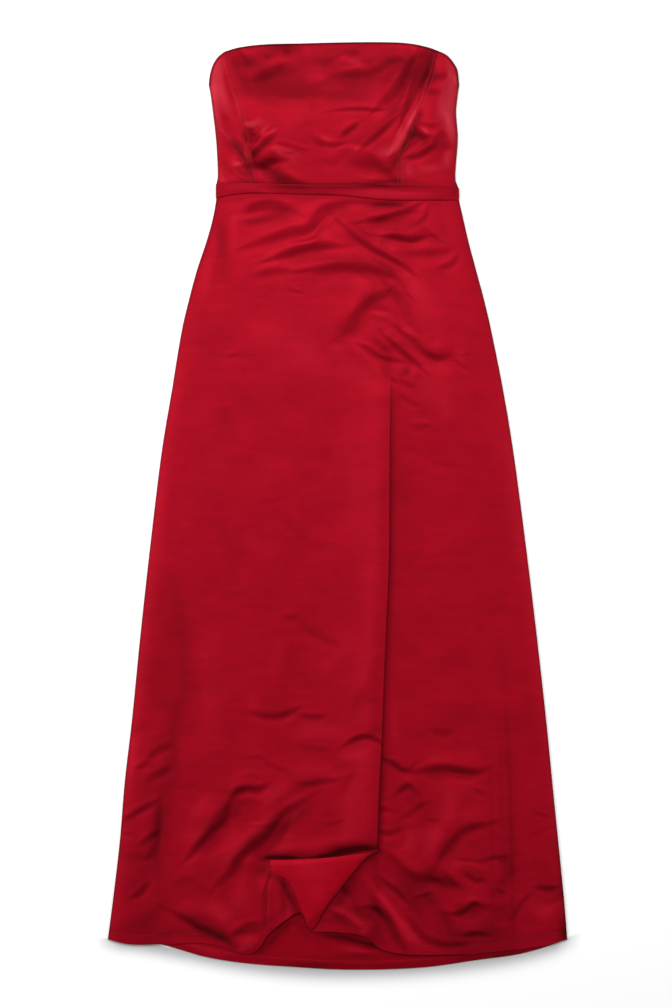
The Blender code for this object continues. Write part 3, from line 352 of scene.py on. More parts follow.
skirtPaintedShading = {
    3: [
        (-13, -181, 239, -114, 233, -49, 234, 19, 236, 58, 242),
        (-12, 254, 993, 261, 1129, 264, 1250, 266, 1371), (6, 247, 993, 254, 1129, 257, 1250),
        (-7, 243, 1053, 247, 1144, 246, 1220), (-8, 131, 1232, 201, 1230, 306, 1223),
        (-16, 58, 244, 101, 244), (-12, 137, 242, 158, 242),
    ],
    4: [(-8, 43, 263, 95, 268), (8, -17, 338, 46, 339), (8, 43, 283, 82, 285)],
    5: [
        (7, -166, 271, -108, 259), (-12, -8, 1214, 22, 1217, 49, 1232), (-9, 28, 274, 58, 297),
        (-7, 19, 342, 58, 357), (10, 346, 1308, 349, 1356), (-10, 49, 322, 92, 351),
        (-10, 98, 451, 128, 460), (10, 164, 1200, 194, 1188, 225, 1196),
        (10, -114, 291, -57, 275, -33, 263), (-14, -31, 297, -22, 278, -11, 260), (-12, 58, 327, 89, 347),
        (8, 110, 342, 131, 354), (-10, 1, 356, 34, 348, 61, 363), (-9, 40, 463, 70, 486),
        (-10, 155, 266, 164, 291), (8, 134, 312, 173, 310),
    ],
    6: [
        (6, -20, 257, 4, 285), (-9, 246, 1053, 258, 1099), (-10, 222, 1229, 255, 1226),
        (-9, 101, 1199, 64, 1220), (-10, 246, 1299, 240, 1326), (-9, 261, 1296, 270, 1326),
        (9, 201, 1238, 225, 1247), (-10, 319, 1293, 346, 1286), (9, 313, 1308, 346, 1296),
        (8, -154, 263, -108, 257), (10, 73, 439, 92, 430), (8, 113, 481, 140, 469),
        (-14, -314, 1044, -287, 1025), (-14, -293, 1355, -241, 1341),
        (-16, -335, 1359, -284, 1359, -254, 1362), (-10, 95, 502, 107, 493), (8, -48, 303, 19, 306),
        (-18, -57, 330, 11, 324, 64, 336), (-14, 92, 504, 111, 492), (8, -157, 254, -157, 312),
        (-10, 92, 321, 140, 324, 173, 319), (-12, 104, 490, 108, 509), (14, 244, 1250, 250, 1262),
    ],
    7: [
        (-7, -196, 251, -175, 297, -184, 336), (-8, -11, 1096, 28, 1084),
        (-10, -8, 1308, 19, 1290, 40, 1268), (-10, 210, 1259, 231, 1268), (-8, 176, 1299, 216, 1296),
        (-9, 255, 1132, 243, 1171), (-12, -208, 1371, -148, 1389), (10, -151, 257, -111, 250),
        (-48, 46, 244, 79, 241, 110, 241), (-18, -69, 321, -20, 312), (8, -57, 342, -5, 339, 64, 345),
        (-12, 149, 344, 182, 334), (12, 92, 242, 131, 248), (12, -132, 306, -72, 286, -26, 269),
        (10, -39, 269, -17, 251, 4, 241), (10, 67, 300, 89, 316), (-10, -138, 356, -57, 345, -5, 342),
        (8, 114, 471, 137, 480), (-16, -290, 1066, -263, 1049),
    ],
    8: [
        (7, -5, 430, 31, 457, 58, 487, 79, 521), (-10, -250, 1047, -244, 1084, -250, 1144),
        (7, -194, 324, -201, 387), (-14, 225, 1280, 258, 1290), (-8, -284, 1053, -263, 1050),
        (-8, 1, 442, 28, 418), (8, 173, 466, 191, 469), (-14, 78, 460, 75, 506, 79, 551),
        (12, -114, 330, -72, 312, -42, 303), (-16, -2, 448, 19, 430, 37, 415), (-14, -142, 272, -69, 260),
        (-16, 128, 289, 164, 304), (-22, -138, 271, -105, 260, -72, 253), (-12, 19, 277, 49, 295),
        (10, -306, 1046, -316, 1114), (-22, 240, 1232, 258, 1229),
    ],
    9: [
        (6, 95, 363, 131, 387), (-10, -281, 1199, -269, 1265, -263, 1305), (-9, 261, 1153, 264, 1259),
        (-10, 300, 1238, 340, 1271), (-10, -341, 1341, -284, 1317, -250, 1290),
        (-12, -272, 1162, -272, 1250), (-14, 34, 390, 57, 369), (-14, -175, 245, -176, 297, -170, 357),
        (-14, -14, 257, 16, 247), (-10, 67, 395, 84, 418), (-10, 61, 466, 82, 484),
        (-16, -290, 1144, -281, 1072), (-24, 191, 1247, 225, 1262), (-22, 243, 1271, 257, 1235),
        (-20, 300, 1268, 331, 1274), (-26, 335, 1212, 344, 1296, 346, 1371), (-30, 340, 1323, 344, 1371),
        (-18, 303, 1276, 340, 1285), (-18, 149, 1376, 216, 1376, 270, 1370),
    ],
    10: [
        (-9, -175, 551, -154, 593), (-7, -57, 645, -39, 675), (-7, -63, 866, -11, 893),
        (-8, 207, 518, 213, 551), (6, 158, 533, 170, 569), (-7, -260, 866, -254, 902),
        (-7, 243, 902, 255, 993), (9, -17, 454, 10, 460), (-12, -20, 368, 22, 362), (-10, 34, 384, 89, 381),
        (-10, -173, 266, -169, 318), (-10, 61, 269, 95, 269, 140, 259), (-20, -325, 1184, -284, 1141),
        (-16, -320, 1238, -284, 1214), (-10, 252, 1038, 260, 1129, 261, 1220),
    ],
    11: [(-22, 240, 1286, 266, 1247), (14, 285, 1300, 322, 1317)],
    12: [
        (-7, -214, 614, -199, 675), (-6, -184, 745, -160, 763), (-8, 125, 1341, 185, 1344, 249, 1329),
        (10, 98, 348, 134, 375), (-12, -257, 1162, -258, 1262), (-10, 131, 1035, 185, 1016, 216, 994),
    ],
    13: [(-16, -244, 811, -232, 902, -229, 993)],
    14: [
        (-7, -238, 811, -148, 829), (-8, -299, 944, -269, 993, -244, 1017), (5, -142, 751, -93, 769),
        (7, 4, 493, 52, 502), (-16, -302, 1347, -266, 1293),
        (-28, -241, 1002, -257, 1084, -266, 1152, -281, 1220, -302, 1283),
    ],
    16: [(5, 246, 584, 270, 690, 276, 781), (-8, -11, 260, 95, 278, 140, 272)],
    18: [(-9, 231, 1017, 319, 1014)],
    20: [
        (-14, -335, 1344, -284, 1335, -229, 1350), (-12, -320, 1299, -281, 1259),
        (-28, 155, 1365, 231, 1350, 276, 1356), (-14, 140, 1329, 216, 1326, 291, 1303),
    ],
    22: [(4, -196, 887, -193, 1069)],
    24: [(8, 155, 501, 137, 546), (8, 119, 372, 134, 433)],
    26: [(8, -132, 433, -79, 448, -19, 493), (-6, -257, 835, -250, 1032)],
    28: [(-8, -269, 826, -272, 1023)],
}
leftPaintedShading = {
    3: [(-60, -96, 1230, -51, 1230, -2, 1225)],
    4: [
        (-10, 61, 1108, 57, 1208), (10, -96, 1280, -92, 1314), (-10, 22, 1056, 58, 1050),
        (-60, -113, 1232, -93, 1230, -69, 1230),
    ],
    5: [
        (-14, -163, 1382, -135, 1371), (-12, -157, 1347, -117, 1339),
        (-12, -154, 1171, -151, 1153, -142, 1138), (14, -151, 1371, -123, 1364),
        (-14, -104, 1262, -104, 1299), (-14, -93, 1268, -84, 1293, -79, 1320),
    ],
    6: [
        (-12, -223, 1226, -190, 1182, -166, 1147, -142, 1120), (-9, -66, 1011, -33, 1017),
        (-8, -114, 1002, -69, 999), (-8, 49, 993, 61, 987), (-10, 22, 1099, 8, 1129),
        (-8, 22, 1038, 61, 1034), (-12, -211, 1341, -184, 1352, -166, 1338), (-16, -117, 1368, -98, 1338),
        (-10, -87, 1262, -67, 1299), (-12, -140, 1274, -111, 1246),
        (-10, -226, 1205, -199, 1187, -169, 1168), (-14, -187, 1235, -151, 1214, -114, 1187, -102, 1174),
        (-14, -166, 1132, -145, 1126, -120, 1120), (-14, -90, 1196, -69, 1168, -39, 1147),
        (-10, -81, 1144, -57, 1123, -23, 1108), (16, -148, 1235, -129, 1223),
        (9, -166, 1114, -135, 1099, -108, 1102), (-8, -114, 1005, -87, 1005, -69, 996),
        (-14, -232, 1341, -193, 1335, -169, 1347), (-18, -163, 1347, -138, 1341, -114, 1332),
        (-44, -105, 1255, -84, 1264, -70, 1291, -57, 1315, -40, 1342), (-22, -238, 1344, -196, 1352),
        (-20, -151, 1342, -111, 1335), (26, -151, 1370, -120, 1356),
        (-34, -114, 1226, -81, 1223, -51, 1223), (-85, -23, 1227, 13, 1220, 37, 1215, 67, 1214),
        (-36, -14, 1215, 19, 1210, 49, 1206),
    ],
    7: [
        (-13, -247, 1308, -202, 1332, -154, 1361), (-8, -102, 969, -51, 969), (-10, -72, 1066, -30, 1056),
        (-10, -244, 1268, -208, 1265), (-34, -114, 1374, -90, 1338),
        (-22, -244, 1303, -202, 1321, -166, 1342), (-22, -111, 1368, -84, 1338),
    ],
    8: [
        (-8, -163, 1053, -151, 1038), (-34, -211, 1190, -178, 1162, -151, 1138),
        (-12, -178, 1132, -138, 1117), (10, -219, 1168, -196, 1135),
        (-32, -172, 1244, -142, 1217, -111, 1184), (-14, -114, 1184, -72, 1144),
        (-18, -126, 1256, -101, 1234), (-10, -120, 1006, -72, 1000), (-8, -60, 1016, -23, 1011),
        (-14, -120, 1241, -99, 1250), (10, 4, 1078, 49, 1070), (-12, -114, 1214, -60, 1205),
    ],
    9: [
        (-7, -5, 796, 13, 826), (7, -132, 981, -123, 1005), (-8, -199, 1229, -178, 1262),
        (12, -232, 1241, -205, 1214), (-34, -99, 1202, -69, 1178, -39, 1150),
        (-16, -163, 1171, -145, 1147, -117, 1135), (12, -131, 1223, -98, 1174),
        (-14, 16, 1058, 46, 1044, 67, 1038), (16, -143, 1238, -128, 1217), (-22, -60, 1123, -23, 1112),
        (-14, 16, 1053, 43, 1043, 64, 1035), (5, -69, 1217, 4, 1211),
    ],
    10: [(6, -102, 957, -84, 908), (7, 19, 1123, 11, 1205), (-12, 28, 996, 52, 966, 63, 935)],
    11: [(10, -63, 1096, 16, 1096)],
    12: [
        (-8, -254, 1274, -211, 1279, -166, 1268), (6, -30, 957, 19, 902), (10, -138, 1238, -151, 1302),
        (10, -63, 1038, 16, 1038), (-10, -63, 1069, -5, 1062),
    ],
    13: [(5, 26, 599, 28, 690, 28, 781), (12, -117, 1147, -75, 1117), (14, -196, 1299, -163, 1323)],
    15: [(5, 52, 509, 52, 614, 48, 781, 40, 993, 37, 1129)],
    22: [(5, 22, 872, 23, 1053, 19, 1220)],
}
rightPaintedShading = {
    3: [(-11, 231, 1059, 232, 1144, 234, 1235, 235, 1341), (-9, 260, 1256, 278, 1240, 319, 1235)],
    4: [
        (-12, 219, 1237, 241, 1229, 264, 1230), (-10, 231, 1274, 261, 1286), (8, 234, 1300, 261, 1290),
        (7, 234, 1330, 264, 1330),
    ],
    5: [
        (-10, 104, 1311, 125, 1294, 161, 1297), (-10, 152, 1296, 166, 1320, 170, 1347),
        (7, 114, 1314, 145, 1332), (-11, 167, 1317, 194, 1305, 210, 1297, 231, 1306),
        (-9, 73, 1144, 92, 1138), (-12, 66, 1073, 92, 1087), (-10, 89, 1125, 113, 1125, 134, 1147),
        (-20, 240, 1376, 279, 1373), (10, 57, 1286, 76, 1323), (-10, 128, 1109, 173, 1108),
    ],
    6: [
        (-10, 164, 1349, 216, 1344, 270, 1336), (-12, 58, 1349, 40, 1353), (9, 98, 1323, 122, 1350),
        (-9, 70, 1190, 95, 1184), (-22, 70, 1305, 89, 1335, 110, 1368),
        (-18, 128, 1250, 155, 1267, 185, 1273), (-9, 191, 1176, 246, 1176), (-12, 249, 1302, 264, 1332),
        (-14, 300, 1347, 325, 1339, 349, 1344), (-14, 73, 1084, 95, 1096, 110, 1093),
        (16, 61, 1253, 70, 1223, 73, 1196), (9, 73, 1199, 75, 1144), (-26, 51, 1230, 19, 1262, -17, 1308),
        (-14, -26, 1324, 13, 1318), (12, 4, 1335, 52, 1342), (14, 128, 1097, 155, 1094, 176, 1097),
    ],
    7: [
        (-15, 110, 1246, 146, 1261, 194, 1282), (-10, 134, 1244, 155, 1268), (-10, 152, 1232, 185, 1215),
        (-16, 134, 1286, 152, 1308, 167, 1332), (-12, 155, 1235, 188, 1220, 213, 1202),
        (-10, 188, 1296, 246, 1305), (-10, 194, 1126, 219, 1129), (-8, 125, 1144, 140, 1174),
        (14, 64, 1274, 70, 1299), (14, 43, 1265, 55, 1296), (-14, 19, 1286, 39, 1326),
        (-16, 37, 1305, 67, 1309, 86, 1323), (-12, 69, 1302, 98, 1353),
        (-14, 166, 1223, 191, 1205, 219, 1215),
    ],
    8: [
        (-7, 89, 981, 131, 987), (-6, 95, 902, 131, 920), (9, 125, 1197, 155, 1187),
        (-24, 4, 1303, 52, 1320), (-14, 69, 1090, 63, 1152, 60, 1205), (-16, 86, 1123, 113, 1120),
        (-14, 67, 1184, 101, 1178), (10, 149, 1294, 176, 1306),
    ],
    9: [
        (-7, 92, 1123, 113, 1132, 137, 1153), (-7, 140, 1290, 201, 1308, 276, 1296),
        (16, 64, 1286, 82, 1317, 101, 1350), (-36, 31, 1256, 14, 1280, -5, 1308),
        (-14, 82, 1085, 107, 1097), (-22, 125, 1235, 155, 1253, 185, 1274), (10, 173, 1238, 207, 1238),
    ],
    10: [
        (-6, 113, 720, 131, 766), (4, 76, 932, 110, 944), (-8, 140, 1053, 201, 1017),
        (12, 134, 1223, 157, 1190), (-14, 107, 1138, 131, 1168),
    ],
    11: [(10, 82, 984, 82, 1069), (12, 111, 1190, 105, 1220)],
    12: [(-16, 95, 1271, 113, 1299, 128, 1338), (12, 95, 1353, 131, 1347)],
    13: [(-24, 73, 1265, 107, 1283, 140, 1283), (-18, 113, 1317, 143, 1291), (12, 176, 1129, 161, 1174)],
    14: [(-8, 92, 599, 101, 720, 89, 781), (-20, 107, 1262, 143, 1279, 170, 1270)],
}
backPaintedShading = {
    4: [
        (12, -11, 1392, 11, 1395, 37, 1397), (-36, 58, 1364, 92, 1373, 155, 1376),
        (-14, -11, 1380, 95, 1377, 201, 1380),
    ],
    5: [
        (-26, 216, 1383, 258, 1377, 306, 1368), (-12, 161, 1389, 210, 1386),
        (-30, 13, 1395, 64, 1394, 146, 1391), (-20, -60, 1326, -51, 1344, -39, 1353),
        (-22, -87, 1392, -30, 1395, 19, 1395), (-16, -11, 1380, 64, 1382, 140, 1379),
        (10, 4, 1370, 64, 1371, 125, 1371),
    ],
    6: [
        (12, 1, 1362, 34, 1370, 89, 1382), (-12, -39, 1339, 7, 1358), (-14, -329, 1365, -269, 1365),
        (9, 13, 1389, 95, 1392, 140, 1389), (-20, -72, 1391, -30, 1392, 10, 1392),
    ],
    7: [
        (-66, -20, 1346, 19, 1353, 49, 1362, 76, 1370), (-44, -123, 1377, -105, 1362, -87, 1342, -63, 1323),
    ],
    8: [(10, -229, 1362, -172, 1377)],
    9: [(-18, 149, 1379, 216, 1379, 270, 1374)],
}
sashPaintedShading = {
    2: [(7, -172, 215, -117, 214, -11, 216)],
    3: [
        (-22, 40, 216, 113, 217), (-10, 110, 218, 173, 219), (8, -175, 229, -132, 225, -75, 226),
        (-26, 55, 213, 104, 213), (12, 19, 218, 73, 221), (-20, 122, 214, 140, 215),
    ],
    4: [
        (-22, -157, 232, -108, 229), (-8, -184, 238, -160, 236), (-12, -145, 232, -117, 229),
        (-8, -72, 233, 16, 235), (8, 37, 226, 79, 227, 140, 229),
        (-34, -93, 216, -57, 218, 4, 218, 64, 216, 107, 215),
    ],
    5: [(-24, -96, 216, -48, 218), (-10, -87, 227, -11, 232)],
    6: [
        (-12, -51, 232, -8, 230), (-16, 7, 236, 37, 238), (-12, 134, 238, 161, 238),
        (16, -5, 226, 64, 229, 146, 229), (10, -163, 219, -96, 222),
    ],
    7: [(-16, -148, 230, -120, 230), (-14, -184, 236, -154, 238)],
}
cornerPaintedShading = {
    3: [(10, -102, 1237, -57, 1236, -2, 1230)],
    5: [
        (-24, 61, 1218, 37, 1235, 13, 1262, -11, 1293, -39, 1338), (-40, 67, 1214, 52, 1223, 37, 1238),
        (-22, -48, 1336, -37, 1323, -23, 1311),
    ],
    14: [(7, -42, 1277, -23, 1283)],
    16: [(9, -63, 1244, -11, 1250)],
}

# Creases pressed into the back
backCreaseRows = {
    "step": [
        (4, 7, -158, 92, -112, 112, -70, 118, -34, 106), (3, 5, 52, 86, 76, 108, 118, 124),
        (4, 6, -164, 160, -126, 180, -84, 188, -30, 206), (4, 5, 158, 142, 120, 156, 92, 178, 60, 200),
        (4, 8, -164, 258, -120, 252, -66, 266, -20, 256), (3, 5, -140, 276, -90, 284, -50, 280),
        (3, 7, 20, 250, 62, 262, 96, 284, 120, 310), (5, 8, -150, 296, -100, 316, -50, 314, -14, 330),
        (4, 6, 24, 292, 66, 320, 96, 352, 140, 372), (3, 6, -172, 356, -128, 372, -90, 396, -66, 428),
        (4, 7, 110, 392, 152, 384, 194, 398), (3, 7, -52, 428, -24, 444, 30, 440, 74, 414),
        (2, 8, -200, 452, -150, 482, -92, 488), (2, 9, -46, 556, 10, 584, 58, 576),
        (2, 8, 120, 640, 170, 656, 232, 634), (2, 9, -246, 690, -196, 700, -150, 688),
        (2, 8, -20, 776, 36, 802, 110, 800), (3, 8, -226, 876, -176, 862, -120, 884),
        (2, 8, 150, 880, 196, 910, 262, 904), (4, 8, -286, 1010, -242, 1034, -190, 1030, -134, 1052),
        (3, 6, -96, 1000, -60, 1018, -20, 1012), (4, 8, 70, 1000, 120, 1036, 176, 1034, 222, 1060),
        (5, 8, -262, 1100, -214, 1146, -160, 1150, -104, 1180), (4, 7, 20, 1100, 70, 1128, 122, 1116),
        (5, 8, 160, 1110, 206, 1150, 258, 1156, 300, 1186), (4, 8, -312, 1222, -270, 1252, -226, 1250),
        (5, 8, -110, 1196, -50, 1234, 14, 1230, 70, 1262), (4, 7, 96, 1206, 140, 1246, 206, 1242),
        (4, 8, -250, 1300, -190, 1330, -120, 1322), (5, 8, -76, 1290, -14, 1332, 60, 1326, 112, 1352),
        (4, 7, 150, 1290, 200, 1318, 250, 1322, 296, 1300),
    ],
    "ridge": [
        (2, 5, 96, 90, 124, 112, 162, 118), (3, 4, 120, 190, 146, 180, 170, 182),
        (3, 6, 70, 250, 116, 270, 168, 276), (2, 14, 110, 440, 128, 560, 120, 700),
        (3, 7, -80, 1092, -40, 1120, -16, 1170), (4, 9, -186, 1196, -150, 1240, -150, 1300),
    ],
    "valley": [
        (3, 4, -120, 140, -84, 162, -40, 170), (3, 5, -56, 128, -50, 156, -58, 188),
        (3, 8, -40, 350, -70, 392, -120, 424), (2, 16, -100, 520, -126, 660, -118, 820),
        (2, 14, 40, 840, 56, 960, 30, 1080), (4, 7, 236, 1196, 262, 1244, 266, 1310),
    ],
}

# "rise" is the share of its half width that a crease of each strength is high. A form is the share of
# a line that its ends fade over, the height kept there, how far they narrow, and how far it runs on.
# From "tone" to "strokeOn" the numbers set the painted shade along creases and strokes: its strength and the
# crease height that gives all of it, the share that the large folds lay, the range it is held in (a painted
# highlight below 0), the stroke level that paints full shade, and how strokes fade and run on past their
# ends.
folding = {
    "rise": {1: 0.10, 2: 0.18, 3: 0.27, 4: 0.38, 5: 0.50}, "large": (0.35, 0.25, 0.0, 0.0),
    "fine": (0.40, 0.0, 0.45, 0.30), "tone": 0.75, "toneHeight": 4.0, "largeTone": 0.25, "tones": (-1.0, 2.0),
    "strokeUnit": 45.0, "strokeEnd": 0.4, "strokeOn": 0.3, "reach": 3.2,
}


def smooth(value):
    value = np.clip(value, 0.0, 1.0)
    return value * value * (3.0 - 2.0 * value)


def hermite(a, b, tangentA, tangentB, t):
    square = t * t
    cube = square * t
    start = (2 * cube - 3 * square + 1) * a + (cube - 2 * square + t) * tangentA
    return start + (3 * square - 2 * cube) * b + (cube - square) * tangentB


# Smooth values of one column of a table at the given depths
def tableValue(rows, down, column):
    knots = np.array([row[0] for row in rows], float)
    values = np.array([row[column] for row in rows], float)
    slopes = np.empty(len(rows))
    slopes[1:-1] = (values[2:] - values[:-2]) / (knots[2:] - knots[:-2])
    slopes[0] = (values[1] - values[0]) / (knots[1] - knots[0])
    slopes[-1] = (values[-1] - values[-2]) / (knots[-1] - knots[-2])
    down = np.clip(down, knots[0], knots[-1])
    i = np.clip(np.searchsorted(knots, down) - 1, 0, len(rows) - 2)
    span = knots[i + 1] - knots[i]
    return hermite(values[i], values[i + 1], slopes[i] * span, slopes[i + 1] * span, (down - knots[i]) / span)


# A line of plan points, measured along its length from 0 to 1
class Line:
    def __init__(self, points):
        self.points = np.array(points, float)
        steps = np.hypot(*(self.points[1:] - self.points[:-1]).T)
        self.marks = np.concatenate(([0.0], np.cumsum(steps)))
        self.length = self.marks[-1]

    def at(self, shares):
        target = np.asarray(shares, float) * self.length
        return np.stack([np.interp(target, self.marks, self.points[:, k]) for k in (0, 1)], axis=-1)

    def acrossAt(self, down):
        return np.interp(down, self.points[:, 1], self.points[:, 0])

    def downAt(self, across):
        return np.interp(across, self.points[:, 0], self.points[:, 1])


# Smooth line through a few spots
def curve(spots, steps=8):
    spots = [np.array(spot, float) for spot in spots]
    last = len(spots) - 1
    points = []
    for i in range(last):
        a, b = spots[i], spots[i + 1]
        before, after = spots[max(i - 1, 0)], spots[min(i + 2, last)]
        reach = math.dist(a, b)
        tangentA = (b - before) * (reach / (reach + math.dist(a, before)))
        tangentB = (after - a) * (reach / (reach + math.dist(after, b)))
        points += [hermite(a, b, tangentA, tangentB, k / steps) for k in range(steps)]
    return Line(points + [spots[-1]])


def joined(*lines):
    points = list(lines[0].points)
    for line in lines[1:]:
        points += list(line.points[1:])
    return Line(points)


def sideLine(column, top, foot):
    spots = [(float(tableValue(sections, top, column)), top)]
    spots += [(row[column], row[0]) for row in sections if top + 6 < row[0] < foot - 6]
    return curve(spots + [(float(tableValue(sections, foot, column)), foot)])


slitLine = curve(slitSpots)
lapLine = curve(lapSpots)
foldPath = curve(foldLine)
cornerSideLine = curve(cornerSide)
cornerTopLine = curve(cornerTop)


# Signed distance from a line, above 0 on its hem side, and how far along it each point is
def nearest(line, across, down):
    best = np.full(across.shape, 1e9)
    signed = np.zeros(across.shape)
    along = np.zeros(across.shape)
    for a, b, mark in zip(line.points[:-1], line.points[1:], line.marks[:-1]):
        run = b - a
        size = run @ run
        share = np.clip(((across - a[0]) * run[0] + (down - a[1]) * run[1]) / size, 0.0, 1.0)
        offX = across - a[0] - run[0] * share
        offD = down - a[1] - run[1] * share
        away = np.hypot(offX, offD)
        closer = away < best
        side = np.where(offD * run[0] - offX * run[1] < 0.0, -1.0, 1.0)
        best = np.where(closer, away, best)
        signed = np.where(closer, away * side, signed)
        along = np.where(closer, mark + share * math.sqrt(size), along)
    if line.points[-1][0] < line.points[0][0]:
        signed = -signed
    return signed, along


# A line carried on straight past both its ends by a share of its length
def lengthened(line, share):
    if not share:
        return line
    points = line.points
    start = (points[0] - points[2]) / math.dist(points[0], points[2])
    end = (points[-1] - points[-3]) / math.dist(points[-1], points[-3])
    reach = share * line.length
    return Line([points[0] + start * reach] + list(points) + [points[-1] + end * reach])


def rowsOf(groups):
    return [(key, *row) for key, rows in groups.items() for row in rows]


# The points near a line, how far off it they lie, and how far from its ends as a share of it
def around(spots, width, extend, across, down):
    line = lengthened(curve(zip(spots[::2], spots[1::2]), 6), extend)
    reach = folding["reach"] * width
    low, high = line.points.min(axis=0) - reach, line.points.max(axis=0) + reach
    near = (across > low[0]) & (across < high[0]) & (down > low[1]) & (down < high[1])
    if not near.any():
        return near, np.zeros(0), np.zeros(0)
    signed, along = nearest(line, across[near], down[near])
    return near, signed, np.minimum(along, line.length - along) / line.length


# Height of folds at points on the plan, and the painted shade along them: on a ridge's hem-side flank, along
# the line of a valley or a step, and a painted highlight along a lift
def foldField(folds, across, down, endShare, endKept, taper, extend):
    height = np.zeros(across.shape)
    dark = np.zeros(across.shape)
    for kind, rise, width, *spots in folds:
        near, signed, fromEnd = around(spots, width, extend, across, down)
        fade = smooth(fromEnd / endShare + endKept)
        q = signed / (width * (1.0 - taper * (1.0 - fade)))
        crest = np.exp(-q * q)
        flank = q * np.exp(0.5 - 0.5 * q * q)
        form, shade = {
            "ridge": (crest, flank * (q > 0)), "valley": (-crest, crest),
            "step": (-0.5 * flank, crest), "lift": (0.5 * flank, -0.6 * crest),
        }[kind]
        height[near] += rise * fade * form
        dark[near] += folding["tone"] * fade * shade * min(1.0, rise / folding["toneHeight"])
    return height, dark


# The painted shade that the strokes lay on the cloth, a painted highlight where it is below 0
def paintedShadingField(tones, across, down):
    dark = np.zeros(across.shape)
    for width, level, *spots in [row for groups in tones for row in rowsOf(groups)]:
        near, signed, fromEnd = around(spots, width, folding["strokeOn"], across, down)
        faded = smooth(fromEnd / folding["strokeEnd"]) * np.exp(-((signed / width) ** 2))
        dark[near] -= level / folding["strokeUnit"] * faded
    return dark


def creases(*tables):
    made = []
    for kind, strength, width, *spots in [row for groups in tables for row in rowsOf(groups)]:
        made.append((kind, folding["rise"][strength] * width, width, *spots))
    return made


# Slow unevenness of cloth that lies loose, as waves of uneven lengths in mm
def looseWaves(across, down):
    height = 0.30 * np.sin(across / 31.0 + 0.9 * np.sin(down / 83.0)) * np.sin(down / 47.0 + 0.7)
    height += 0.22 * np.sin(across / 17.0 + down / 61.0 + 1.3) * np.sin(down / 29.0 + across / 73.0)
    return height + 0.16 * np.sin(down / 13.0 + 1.2 * np.sin(across / 26.0 + down / 150.0))


# Outer height of the front, shared by the bodice and the skirt so that they meet at the seams, and the
# painted shade on it
def frontHeight(across, down, fine, tones=()):
    left = tableValue(sections, down, 1)
    right = tableValue(sections, down, 2)
    height = tableValue(lofts, down, 1)
    width = tableValue(lofts, down, 2)
    inside = np.maximum(0.0, np.minimum(across - left, right - across))
    loft = height * (1.0 - (1.0 - np.minimum(1.0, inside / width)) ** 2) ** shape["loftPower"]
    tilt = shape["waistRight"] - shape["waistLeft"]
    away = np.abs(down - shape["waistLeft"] - tilt * smooth((across - left) / (right - left)))
    calm = smooth((away - shape["foldCalm"]) / shape["foldCalmFade"]) * smooth(inside / shape["sideCalm"])
    large, dark = foldField(rowsOf(largeFolds), across, down, *folding["large"])
    fineCalm = smooth((away - shape["creaseCalm"]) / shape["creaseCalmFade"])
    fineCalm = fineCalm * smooth(inside / shape["creaseSideCalm"])
    small, paintedShading = foldField(fine, across, down, *folding["fine"])
    waves = looseWaves(across, down) * smooth((inside - shape["waveCalm"]) / shape["waveCalmFade"])
    waves = waves * smooth((away - shape["waveWaist"]) / shape["waveWaistFade"])
    rise = np.maximum(0.0, loft + large * calm + small * fineCalm + waves)
    # Painted shade and painted highlight from the strokes, the large folds and the fine creases, and a
    # painted dark rim along both sides where the cloth rolls down to the floor
    tone = paintedShadingField(tones, across, down) + folding["largeTone"] * dark * calm + paintedShading * fineCalm
    tone = tone + shape["sideDark"] * np.exp(-((inside / shape["sideDarkWidth"]) ** 2))
    return shape["frontTop"] + rise, np.clip(tone, *folding["tones"])


# How far inside the turned corner a point is, in mm, and well below 0 past its top and foot
def underCorner(across, down):
    fromSide = across - cornerSideLine.acrossAt(down)
    fromTop = down - cornerTopLine.downAt(across)
    beside = (down > shape["cornerFrom"]) & (down < shape["cornerTo"])
    beyond = np.minimum(fromTop, 0.0) - 1.5 * shape["cornerHide"]
    return np.where(beside, np.minimum(fromSide, fromTop), beyond)


def fromSlit(across, down):
    return across - slitLine.acrossAt(down)


def leftLift(across, down):
    opened = smooth((down - shape["lapStart"]) / (shape["lapFull"] - shape["lapStart"]))
    fade = np.where(down > shape["slitHead"], shape["lapFade"], shape["lapHeadFade"])
    over = smooth((across - lapLine.acrossAt(down)) / fade + 1.0)
    inset = -fromSlit(across, down) / shape["rollWidth"]
    roll = shape["rollRise"] * np.exp(-shape["rollSharp"] * (inset - shape["rollInset"]) ** 2)
    return opened * shape["lapRise"] * over + roll * smooth((down - shape["lapStart"]) / shape["rollRun"])


leftFine = creases(hipCreases, middleCreases, leftCreases)
rightFine = creases(hipCreases, middleCreases, rightCreases)


def leftHeight(across, down):
    plain, plainDark = frontHeight(across, down, [])
    full, dark = frontHeight(across, down, leftFine, (skirtPaintedShading, leftPaintedShading))
    shown = 1.0 - smooth(underCorner(across, down) / shape["cornerHide"])
    return plain + (full - plain) * shown + leftLift(across, down), plainDark + (dark - plainDark) * shown


def rightHeight(across, down):
    own, dark = frontHeight(across, down, rightFine, (skirtPaintedShading, rightPaintedShading))
    beyondFold = nearest(foldPath, across, down)[0]
    beside = fromSlit(across, down)
    hidden = smooth(-beside / shape["lapHide"]) * (1.0 - smooth(beyondFold / shape["foldHide"]))
    under, underDark = frontHeight(across, down, leftFine, (skirtPaintedShading, leftPaintedShading))
    opened = smooth((down - shape["slitHead"]) / shape["fallRun"])
    # Beside the slit edge the right panel dips under the left one, and painted shade is laid there as the
    # left panel's shadow
    fall = opened * np.exp(-((beside / shape["fallWidth"]) ** 2))
    dark = dark + shape["fallDark"] * fall
    return own + (under - own) * hidden - shape["fall"] * fall, dark + (underDark - dark) * hidden


# Shares from 0 to 1 out of spans of (share reached, steps)
def spaced(*spans):
    values = [0.0]
    for end, steps in spans:
        start = values[-1]
        values += [start + (end - start) * (k + 1) / steps for k in range(steps)]
    return np.array(values)


